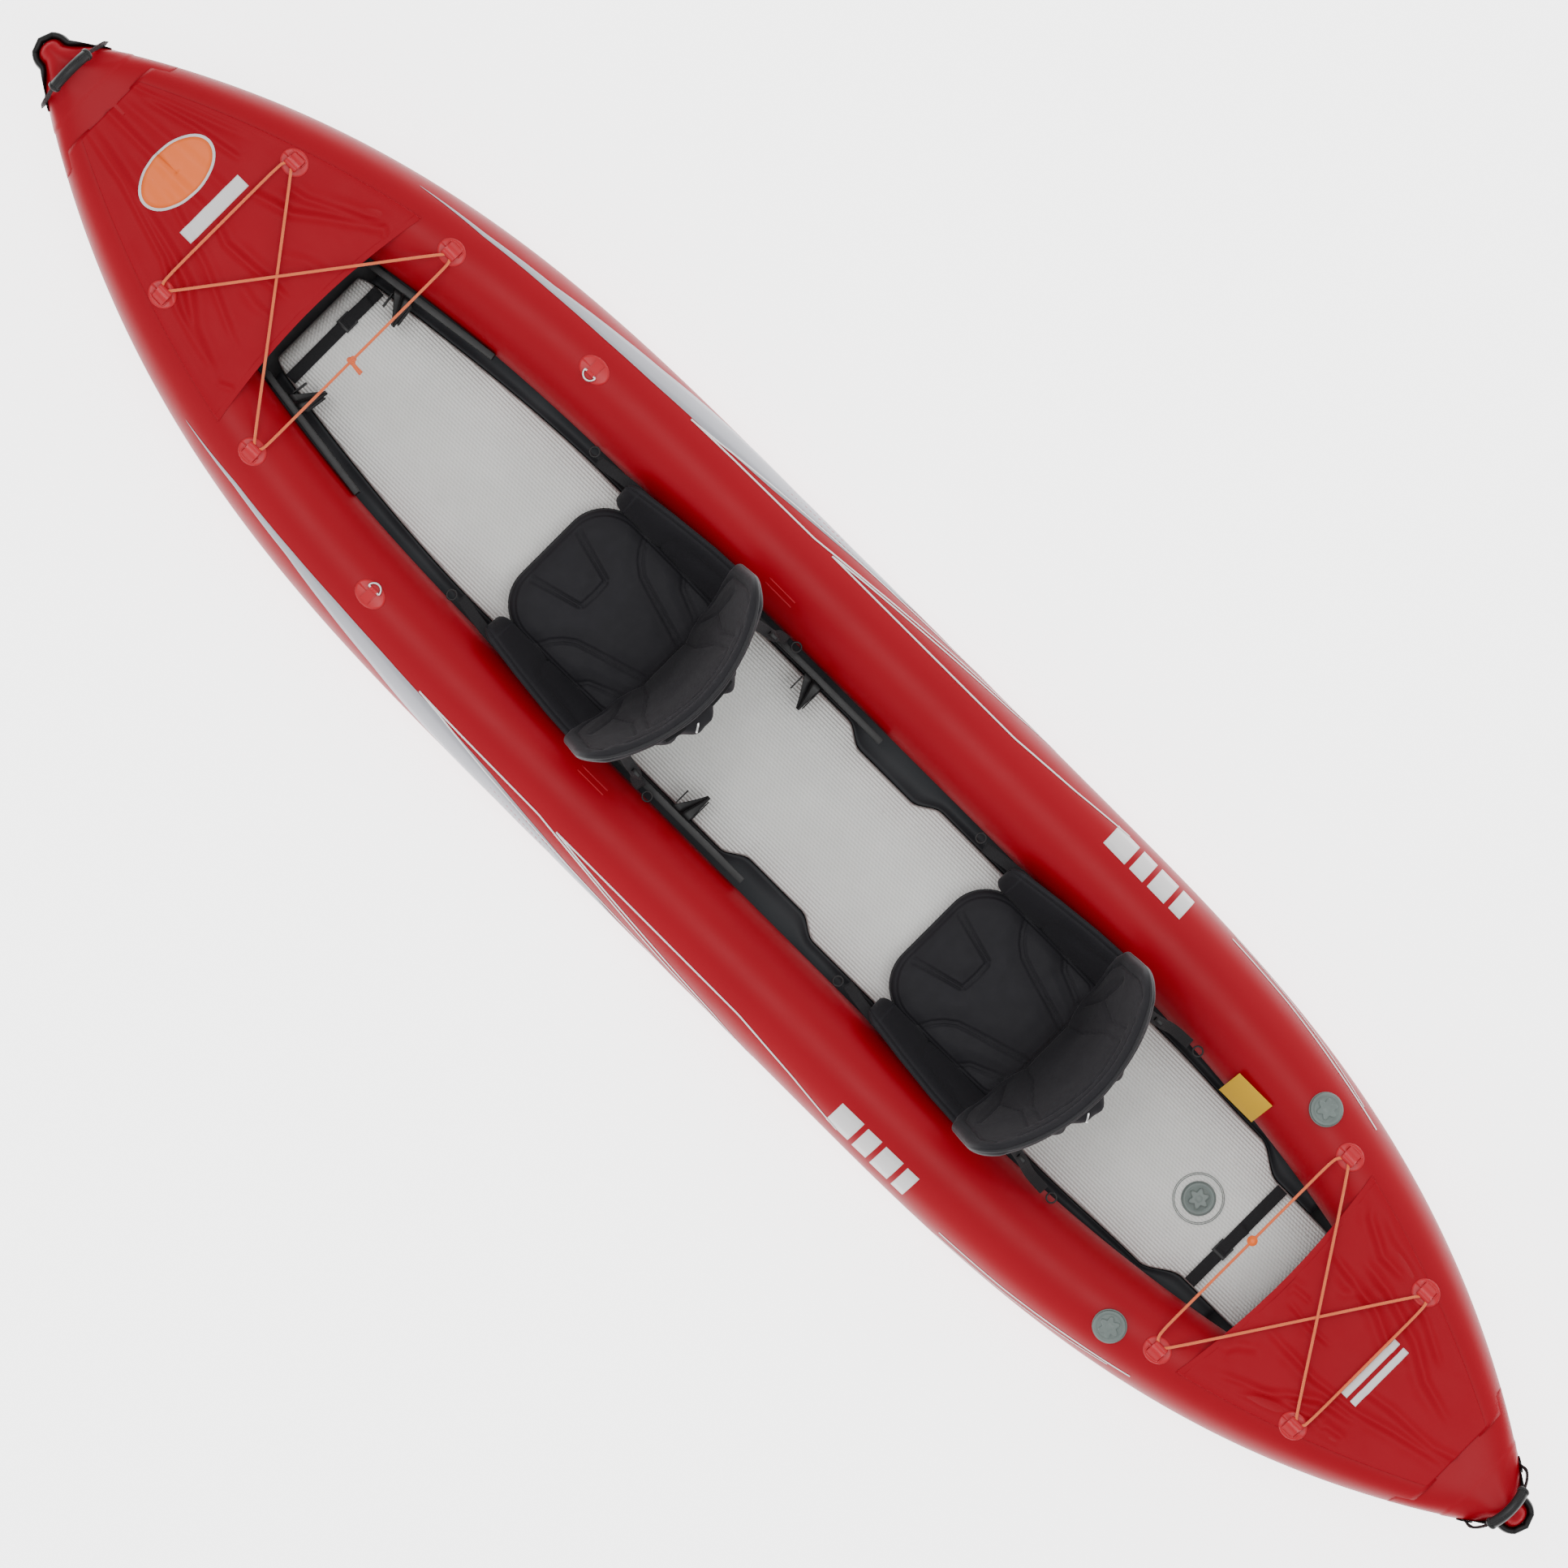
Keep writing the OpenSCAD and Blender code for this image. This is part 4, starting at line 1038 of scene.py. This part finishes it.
def land(x, y, lift=0.0006):
    """The point on the hull's upper skin at a place in plan."""
    hit = LAND.ray_cast(Vector((x, y, 1.0)), Vector((0, 0, -1)))[0]
    return (x, y, (hit.z if hit else top_z(x)) + lift)


def printed(name, rows, material, slot):
    """A print 0.3 mm thick, from rows of points on the skin."""
    return placed(sheet_object(name, rows, material, 0.0003), "hull", slot)


def decal(name, plan_rows, material, lift, slot="deck_skin"):
    """A printed shape laid on the skin. Rows are lists of places in plan."""
    return printed(name, [[land(x, y, lift) for x, y in row] for row in plan_rows], material, slot)


def bar(name, x0, x1, y0, y1, material, steps, lift):
    """A printed bar that runs from x0 to x1 and from y0 to y1."""
    rows = [[(x, y) for y in np.linspace(y0, y1, steps[1])] for x in np.linspace(x0, x1, steps[0])]
    return decal(name, rows, material, lift)


def oval(cx, cy, rx, ry, rings=9, count=56, inner=0.02):
    turns = np.linspace(0, 2 * math.pi, count)
    return [[(cx + rx * s * math.cos(a), cy + ry * s * math.sin(a)) for a in turns]
            for s in np.linspace(inner, 1, rings)]


def side_degrees(x, edge):
    """Degrees out from a tube's top. Edges under 1 are metres from the boat's middle, others degrees."""
    if edge >= 1:
        return edge
    return math.degrees(math.asin(max(-1.0, min(1.0, (edge - tube_y(x)) / tube_r(x)))))


def side_band(name, material, side, stations, lift=0.00045, across=5):
    """A printed band along a tube. Each station is x and how far out its two edges lie."""
    xs = [s[0] for s in stations]
    edges = [[side_degrees(s[0], s[k]) for s in stations] for k in (1, 2)]
    rows = []
    for x in np.linspace(xs[0], xs[-1], max(8, int(abs(xs[-1] - xs[0]) / 0.012))):
        low, high = (through(x, xs, e) for e in edges)
        rows.append([on_tube(x, side, low + (high - low) * t, lift) for t in np.linspace(0, 1, across)])
    return printed(name, rows, material, "tube_skin")


def pinstripe(name, side, stations, width):
    """A fine printed line along a tube, through places given as x and how far out."""
    rows = []
    for x, edge in stations:
        middle, half = side_degrees(x, edge), math.degrees(width / 2 / tube_r(x))
        rows.append((x, max(1.0, middle - half), max(1.01, middle + half)))
    side_band(name, WHITE, side, rows, 0.0006, 3)


SILVER_BAND = [
    (1.35, 0.328, 0.3285), (1.19, 0.346, 0.3535), (1.022, 0.363, 0.377), (0.88, 0.372, 0.398),
    (0.75, 0.379, 0.412), (0.59, 0.387, 76.0), (0.43, 0.397, 90.0), (0.27, 0.411, 104.0),
    (0.11, 0.423, 112.0), (0.02, 84.0, 114.0), (-0.06, 98.0, 112.0)]
PINSTRIPES = {
    "line_a": (0.004, [(0.642, 0.381), (0.58, 0.3868), (0.43, 0.403), (0.27, 0.415), (0.11, 0.422),
                        (-0.05, 0.4265), (-0.16, 88.0)]),
    "line_b": (0.004, [(0.642, 0.3815), (0.52, 0.3845), (0.302, 0.3868), (0.15, 0.402), (-0.05, 0.419),
                        (-0.2, 0.4262), (-0.3, 88.0)]),
    "line_c": (0.004, [(0.252, 0.387), (0.0, 0.3872), (-0.26, 0.3874), (-0.42, 0.399), (-0.56, 0.412)]),
    "line_d": (0.004, [(0.252, 0.3868), (0.19, 0.394), (-0.05, 0.413), (-0.22, 0.423), (-0.34, 86.0)]),
    "line_e": (0.004, [(-0.85, 0.413), (-1.02, 0.401), (-1.18, 0.376), (-1.318, 0.346)]),
    "line_f": (0.0026, [(-0.85, 0.421), (-1.02, 0.4075), (-1.15, 0.388), (-1.27, 0.361)]),
}
SIDE_MARKS = [(-0.53, -0.59), (-0.602, -0.64), (-0.652, -0.7), (-0.712, -0.744)]
for side in (1, -1):
    tag = side_name(side)
    side_band(tag + "_silver_band", SILVER, side, SILVER_BAND)
    for name, (width, stations) in PINSTRIPES.items():
        pinstripe(f"{tag}_{name}", side, stations, width)
    for k, (start, end) in enumerate(SIDE_MARKS):
        side_band(f"{tag}_plain_mark_{k}", WHITE, side, [(start, 0.365, 0.412), (end, 0.364, 0.411)])
    for y in (0.256, 0.268):
        rows = [[(x, v) for x in np.linspace(0.238, 0.31, 14)]
                for v in np.linspace(side * y, side * (y + 0.0022), 3)]
        decal(f"{tag}_weld_ghost_{int(y * 1000)}", rows, PATCH_RED, 0.0005, "tube_skin")

EMBLEM_X, EMBLEM_Y = 1.7, -0.006
decal("bow_round_emblem_edge", oval(EMBLEM_X, EMBLEM_Y, 0.055, 0.092, inner=0.001), WHITE, 0.0012)
decal("bow_round_emblem", oval(EMBLEM_X, EMBLEM_Y, 0.05, 0.086, inner=0.001), ORANGE_PRINT, 0.0024)
bar("bow_plain_bar", 1.614, 1.583, -0.088, 0.074, WHITE, (10, 44), 0.0008)
for k, x in enumerate((-1.629, -1.653)):
    bar(f"stern_plain_bar_{k}", x, x - 0.015, -0.078, 0.072, WHITE, (6, 40), 0.0008)

# ---- Bungees, their anchors, knot and toggle ----


def cord(name, points, radius, slot, *nodes, body="hull", material=ORANGE_CORD, step=0.006, ease=2, sides=14):
    path = rounded_path(points, step, ease)
    return placed(cord_object(name, path, radius, material, sides), body, slot, *nodes)


def strap(name, points, width, *nodes, body="hull", material=WEBBING, slot="black_webbing", thick=0.0018,
          step=0.006, ease=2, flat=True):
    path = rounded_path(points, step, ease)
    return placed(strap_object(name, path, width, material, thick, flat), body, slot, *nodes)


BUNGEE_R = 0.003
BOW_ROUTE = [(1.197, 0.01, 0.247), (1.197, 0.13, 0.247), (1.197, 0.252, 0.247), (1.2, 0.266, 0.247),
             (1.21, 0.271, 0.247), (1.219, 0.264, 0.248), (1.417, 0.0, 0.264), (1.543, -0.167, 0.276),
             (1.552, -0.176, 0.276), (1.562, -0.174, 0.277), (1.568, -0.162, 0.277), (1.568, 0.0, 0.277),
             (1.568, 0.162, 0.277), (1.562, 0.174, 0.277), (1.552, 0.176, 0.276), (1.543, 0.167, 0.276),
             (1.417, 0.0, 0.271), (1.219, -0.264, 0.248), (1.21, -0.271, 0.247), (1.2, -0.266, 0.247),
             (1.197, -0.252, 0.247), (1.197, -0.13, 0.247), (1.197, 0.012, 0.247)]
STERN_ROUTE = [(-1.294, -0.014, 0.25), (-1.294, 0.12, 0.25), (-1.294, 0.244, 0.25), (-1.303, 0.258, 0.25),
               (-1.315, 0.262, 0.25), (-1.325, 0.255, 0.251), (-1.49, 0.0, 0.264), (-1.599, -0.169, 0.273),
               (-1.608, -0.178, 0.273), (-1.618, -0.176, 0.274), (-1.624, -0.164, 0.274), (-1.624, 0.0, 0.274),
               (-1.624, 0.164, 0.274), (-1.618, 0.176, 0.274), (-1.608, 0.178, 0.273), (-1.599, 0.169, 0.273),
               (-1.49, 0.0, 0.271), (-1.325, -0.255, 0.251), (-1.315, -0.262, 0.25), (-1.303, -0.258, 0.25),
               (-1.294, -0.244, 0.25), (-1.294, -0.12, 0.25), (-1.294, -0.018, 0.25)]
cord("bow_bungee_cord", BOW_ROUTE, BUNGEE_R, "orange_cord", "bow_bungee")
cord("stern_bungee_cord", STERN_ROUTE, BUNGEE_R, "orange_cord", "stern_bungee")
# Each anchor: x, how far out, and the height of the cord it holds
ANCHORS = [(1.21, 0.271, 0.247), (1.552, 0.176, 0.276), (-1.315, 0.262, 0.25), (-1.608, 0.178, 0.273)]


def anchor(x, y, high, side):
    """A round welded patch with a webbing loop that the bungee runs through."""
    tag = f"{end_name(x)}_{side_name(side)}_{int(abs(x) * 1000)}"
    decal(tag + "_anchor_patch", oval(x, side * (y + 0.008), 0.03, 0.027, 8, 48), PATCH_RED, 0.001)
    base = land(x, side * (y + 0.01), 0.0)[2]
    loop_r = 0.0058
    turn = [(x, side * (y - loop_r * math.cos(a)), max(high + loop_r * math.sin(a), base + 0.002))
            for a in np.linspace(-2.3, 2.3, 16)]
    tab = [(x, side * (y + 0.026), base + 0.0018), (x, side * (y + 0.014), base + 0.003)] + turn
    tab += [(x, side * (y + 0.012), base + 0.0052), (x, side * (y + 0.025), base + 0.004)]
    strap(tag + "_anchor_loop", tab, 0.03, "bungee_anchors", material=PATCH_RED, slot="deck_skin",
          thick=0.0022, step=0.0022, ease=1)
    corners = [(-0.017, 0.009), (0.017, 0.009), (0.017, 0.027), (-0.017, 0.027), (-0.017, 0.009)]
    raised = [land(x + dx, side * (y + dy), 0.003) for dx, dy in corners]
    cord(tag + "_anchor_weld", raised, 0.0013, "deck_skin", material=PATCH_RED, step=0.003, ease=1, sides=8)


for x, y, high in ANCHORS:
    for side in (1, -1):
        anchor(x, y, high, side)
KNOT_X, KNOT_Y = 1.197, 0.012
knot = [((math.sin(t) + 2 * math.sin(2 * t)) * 0.0026 + KNOT_X,
         (math.cos(t) - 2 * math.cos(2 * t)) * 0.0026 + KNOT_Y,
         -math.sin(3 * t) * 0.0034 + 0.248) for t in np.linspace(0.2, 2 * math.pi + 0.1, 80)]
placed(cord_object("bow_cord_knot", knot, BUNGEE_R, ORANGE_CORD), "hull", "orange_cord", "cord_stoppers")
for k, (dy, dz) in enumerate(((0.003, 0.001), (0.007, 0.003))):
    tail = [(KNOT_X, KNOT_Y, 0.248), (1.188, KNOT_Y + dy * 0.8, 0.249 + dz), (1.176, KNOT_Y + dy, 0.247 + dz),
            (1.166, 0.011 + dy * 1.3, 0.245)]
    cord(f"bow_cord_tail_{k}", tail, 0.0027, "orange_cord", step=0.003)


def lathed(name, profile, where, axis_up, material, body, slot, *nodes, sides=64):
    """A round part from (radius, height) pairs about an upward axis."""
    up = np.array(axis_up) / np.linalg.norm(axis_up)
    a = np.cross(up, (1, 0, 0)) if abs(up[0]) < 0.9 else np.cross(up, (0, 1, 0))
    a /= np.linalg.norm(a)
    b = np.cross(up, a)
    rings = [[tuple(np.array(where) + up * h + r * (math.cos(t) * a + math.sin(t) * b))
              for t in np.linspace(0, 2 * math.pi, sides, endpoint=False)] for r, h in profile]
    return placed(ring_object(name, rings, material), body, slot, *nodes)


TOGGLE = [(0.004, -0.001), (0.0088, 0.0), (0.0104, 0.0022), (0.0108, 0.006), (0.0102, 0.0098),
          (0.008, 0.0112), (0.0066, 0.0116), (0.0064, 0.015), (0.005, 0.0164), (0.0008, 0.0168)]
lathed("stern_cord_toggle", TOGGLE, (-1.294, -0.016, 0.2445), (0, 0, 1), ORANGE_PLASTIC,
       "hull", "orange_plastic")

# ---- Grab handles ----

HANDLE_HALF, HANDLE_HIGH = 0.082, 0.084
CUFF = [(0.0112, -0.004), (0.0126, -0.003), (0.0128, 0.0), (0.0126, 0.003), (0.0112, 0.004)]


def handle(end, x0, z0, tilt):
    """Webbing arched over the nose, with a round grip on its top. It leans by tilt degrees."""
    turn = math.radians(tilt)
    body = end_name(end) + "_handle"

    def at(degrees):
        a = math.radians(degrees)
        y, z = -HANDLE_HALF * math.cos(a), HANDLE_HIGH * math.sin(a)
        return (x0 + z * math.sin(turn), y, z0 + z * math.cos(turn))

    feet = [(x0, s * (outline(abs(x0)) + 0.0035), z0 - 0.006) for s in (-1, 1)]
    strap(body + "_webbing", [feet[0]] + [at(d) for d in range(22, 159, 8)] + [feet[1]], 0.026,
          body + "_strap", body=body, thick=0.0024, flat=False)
    grip = cord_object(body + "_sleeve", [at(d) for d in np.linspace(56, 124, 44)], 0.0112, PLASTIC, 28)
    placed(grip, body, "black_plastic", body + "_grip")
    for k, degrees in enumerate((57.5, 122.5)):
        along = (0, math.sin(math.radians(degrees)), math.cos(math.radians(degrees)))
        lathed(f"{body}_cuff_{k}", CUFF, at(degrees), along, PLASTIC, body, "black_plastic", sides=28)


handle(1, 1.979, 0.278, 0)
handle(-1, -1.982, 0.254, -25)
softened("handle_patches", 0.0004, WEBBING, "black_webbing")

# ---- D-rings ----

for side in (1, -1):
    softened(side_name(side) + "_d_ring", 0.0002, STEEL, "steel")
softened("d_ring_tabs", 0.0008, PATCH_RED, "deck_skin")
for side in (1, -1):
    decal(side_name(side) + "_ring_patch", oval(0.846, side * 0.314, 0.034, 0.026, 8, 48), PATCH_RED, 0.0008)

# ---- Valves ----

VALVES = {"port": ((-1.215, 0.303, 0.234548), (0, 0.196873, 0.980429)),
          "starboard": ((-1.215, -0.303, 0.234548), (0, -0.196873, 0.980429)),
          "floor": ((-1.174, 0.0, 0.1022), (0, 0, 1))}
# Cap: radius, height, and how deep its six lobes are
CAP = [(0.03, 0.0034, 0), (0.0316, 0.0036, 0), (0.0325, 0.0046, 0), (0.0325, 0.007, 0), (0.0318, 0.008, 0),
       (0.03, 0.0084, 0), (0.0262, 0.0082, 0), (0.0254, 0.0074, 0), (0.0242, 0.0074, 0), (0.0234, 0.0083, 0),
       (0.019, 0.0084, 0.004), (0.0183, 0.0092, 0.004), (0.018, 0.0118, 0.004), (0.017, 0.0128, 0.0038),
       (0.014, 0.013, 0.003), (0.009, 0.0124, 0.0012), (0.007, 0.0126, 0), (0.0062, 0.0131, 0),
       (0.001, 0.0132, 0)]
RIM = [(0.033, 0.0006), (0.0345, 0.001), (0.0352, 0.002), (0.0348, 0.003), (0.0334, 0.0034), (0.0326, 0.003)]


def cap(tag, where, axis_up):
    up = np.array(axis_up) / np.linalg.norm(axis_up)
    a = np.array((1.0, 0.0, 0.0))
    b = np.cross(up, a)
    turns = np.linspace(0, 2 * math.pi, 120, endpoint=False)
    rings = [[tuple(np.array(where) + up * h
                    + (r + lobe * math.cos(6 * t)) * (math.cos(t) * a + math.sin(t) * b))
              for t in turns] for r, h, lobe in CAP]
    obj = ring_object(tag + "_cap_finished", rings, CAP_GREY)
    return placed(obj, tag + "_cap", "valve_grey", tag + "_valve_cap")


for tag, (where, up) in VALVES.items():
    cap(tag, where, up)
    lathed(tag + "_valve_rim", RIM, where, up, CAP_GREY, "hull", "valve_grey")
    softened(tag + "_valve_plunger", 0.0003, WHITE_PLASTIC, "white_plastic")
    softened(tag + "_valve_spring", 0.0001, STEEL, "steel")
softened("valve_bodies", 0.0003, CAP_GREY, "valve_grey")
FLOOR_VALVE_X = VALVES["floor"][0][0]
for k, r in enumerate((0.0518, 0.0486)):
    mark = [(FLOOR_VALVE_X + r * math.cos(a), r * math.sin(a), FLOOR_TOP + 0.0012)
            for a in np.linspace(0, 2 * math.pi, 90)]
    placed(cord_object(f"floor_valve_ring_mark_{k}", mark, 0.0007, CAP_GREY, 8), "hull", "valve_grey")

# ---- Floor straps and buckles, foot rails and pedals ----

# Each strap: x, half its length, and where its buckle sits
STRAPS = {"bow": (1.272, 0.126, -0.036), "stern": (-1.28, 0.132, 0.038)}
for tag, (x, half, at) in STRAPS.items():
    top = FLOOR_TOP + 0.0016
    run = [(x, -half, top), (x, -half * 0.6, top + 0.0006), (x, at - 0.022, top + 0.003),
           (x, at, top + 0.0062), (x, at + 0.022, top + 0.003), (x, half * 0.6, top + 0.0006), (x, half, top)]
    strap(tag + "_floor_strap", run, 0.026, *(["floor_straps"] if tag == "bow" else []))
    tail = [(x + 0.001, at + 0.004, top + 0.0075), (x + 0.001, at - 0.03, top + 0.0056),
            (x - 0.002, at - 0.062, top + 0.0068)]
    strap(tag + "_strap_tail", tail, 0.0245, step=0.005)
softened("strap_buckles", 0.0008, PLASTIC, "black_plastic")
softened("foot_rails", 0.0012, PLASTIC, "black_plastic")

# Each rail: x, how far out, degrees that its bow end leans in, and where its pedal starts
RAILS = {"bow": (1.198, 0.1655, 8.05, 0.013), "mid": (0.11, 0.196, 0.0, -0.02)}
RAIL_Z, RAIL_HALF_T, PEDAL_REACH = 0.145, 0.0065, 0.066


def pedal_parts(rail, side):
    """A pedal that stands in from its rail and thins toward its tip, with ribs on its stern face."""
    x0, y0, lean, start = RAILS[rail]
    tag = f"{rail}_{side_name(side)}"
    turn = math.radians(-lean * side)

    def at(px, depth, pz):
        """A place from the rail's middle: along it, in from its inner face, and up."""
        py = -side * (RAIL_HALF_T + depth)
        return (x0 + px * math.cos(turn) - py * math.sin(turn),
                side * y0 + px * math.sin(turn) + py * math.cos(turn), RAIL_Z + pz)

    rings = []
    for d in (0.002, 0.012, 0.026, 0.042, 0.055, 0.062, 0.0655):
        t = d / PEDAL_REACH
        stern, bow = start - 0.009 + 0.002 * t, start + 0.04 * (1 - t) ** 1.15 + 0.001
        low, high = -0.033 + 0.006 * t, 0.061 - 0.031 * t ** 1.5
        ring = []
        for a in np.linspace(0, 2 * math.pi, 48, endpoint=False):
            c, s = superellipse(a, 0.28)
            ring.append(at((stern + bow) / 2 + (bow - stern) / 2 * c, d,
                           (low + high) / 2 + (high - low) / 2 * s))
        rings.append(ring)
    body = tag + "_pedal"
    placed(ring_object(body + "_finished", rings, PLASTIC), body, "black_plastic", body)
    for k in range(3):
        z = -0.016 + 0.016 * k
        rib = [at(start - 0.0095, d, z) for d in (0.008, 0.03, 0.058 - 0.002 * abs(k - 1))]
        cord(f"{body}_rib_{k}", rib, 0.0013, "black_plastic", body=body, material=PLASTIC, step=0.004, ease=1,
             sides=8)
    softened(tag + "_release", 0.0008, PLASTIC, "black_plastic")


for rail in RAILS:
    for side in (1, -1):
        pedal_parts(rail, side)

# ---- Seat straps, rings and the blank tag ----

FRONT_RINGS = {"front": 0.735, "rear": -0.354}
REAR_RINGS = {"front": 0.175, "rear": -0.958}


def seat_straps(name):
    """Straps from each seat to the hull."""
    x_seat, front, rear = SEAT_X[name], FRONT_RINGS[name], REAR_RINGS[name]
    for side in (1, -1):
        tag = f"{name}_{side_name(side)}"
        low = [(front - 0.017, side * 0.193, 0.157), (front - 0.06, side * 0.2, 0.166),
               (front - 0.11, side * 0.206, 0.172), (x_seat + 0.07, side * 0.212, 0.176)]
        strap(tag + "_front_strap", low, 0.022, *([name + "_seat_straps"] if side > 0 else []))
        back = [(x_seat - 0.048, side * 0.176, 0.35), (x_seat - 0.078, side * 0.186, 0.3),
                (x_seat - 0.112, side * 0.192, 0.262), ((x_seat + rear) / 2 - 0.036, side * 0.202, 0.224),
                (rear + 0.022, side * 0.205, 0.19)]
        obj = strap_object(tag + "_rear_strap", rounded_path(back, 0.006, 2), 0.022, WEBBING)
        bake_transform(obj)
        corners = [superellipse(a, 0.4) for a in np.linspace(0, 2 * math.pi, 32, endpoint=False)]
        rows = [[(x_seat - 0.1 + 0.018 * c, side * (0.19 + out), 0.274 + 0.012 * s) for c, s in corners]
                for out in (-0.003, 0.0, 0.004, 0.005)]
        clip = ring_object(tag + "_strap_buckle", rows, PLASTIC)
        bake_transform(clip)


seat_straps("front")
seat_straps("rear")
softened("seat_anchor_rings", 0.0001, PLASTIC, "black_plastic")
softened("care_label", 0.0002, LABEL, "yellow_label")
softened("drop_stitch_threads", 0.00005, THREAD, "thread")
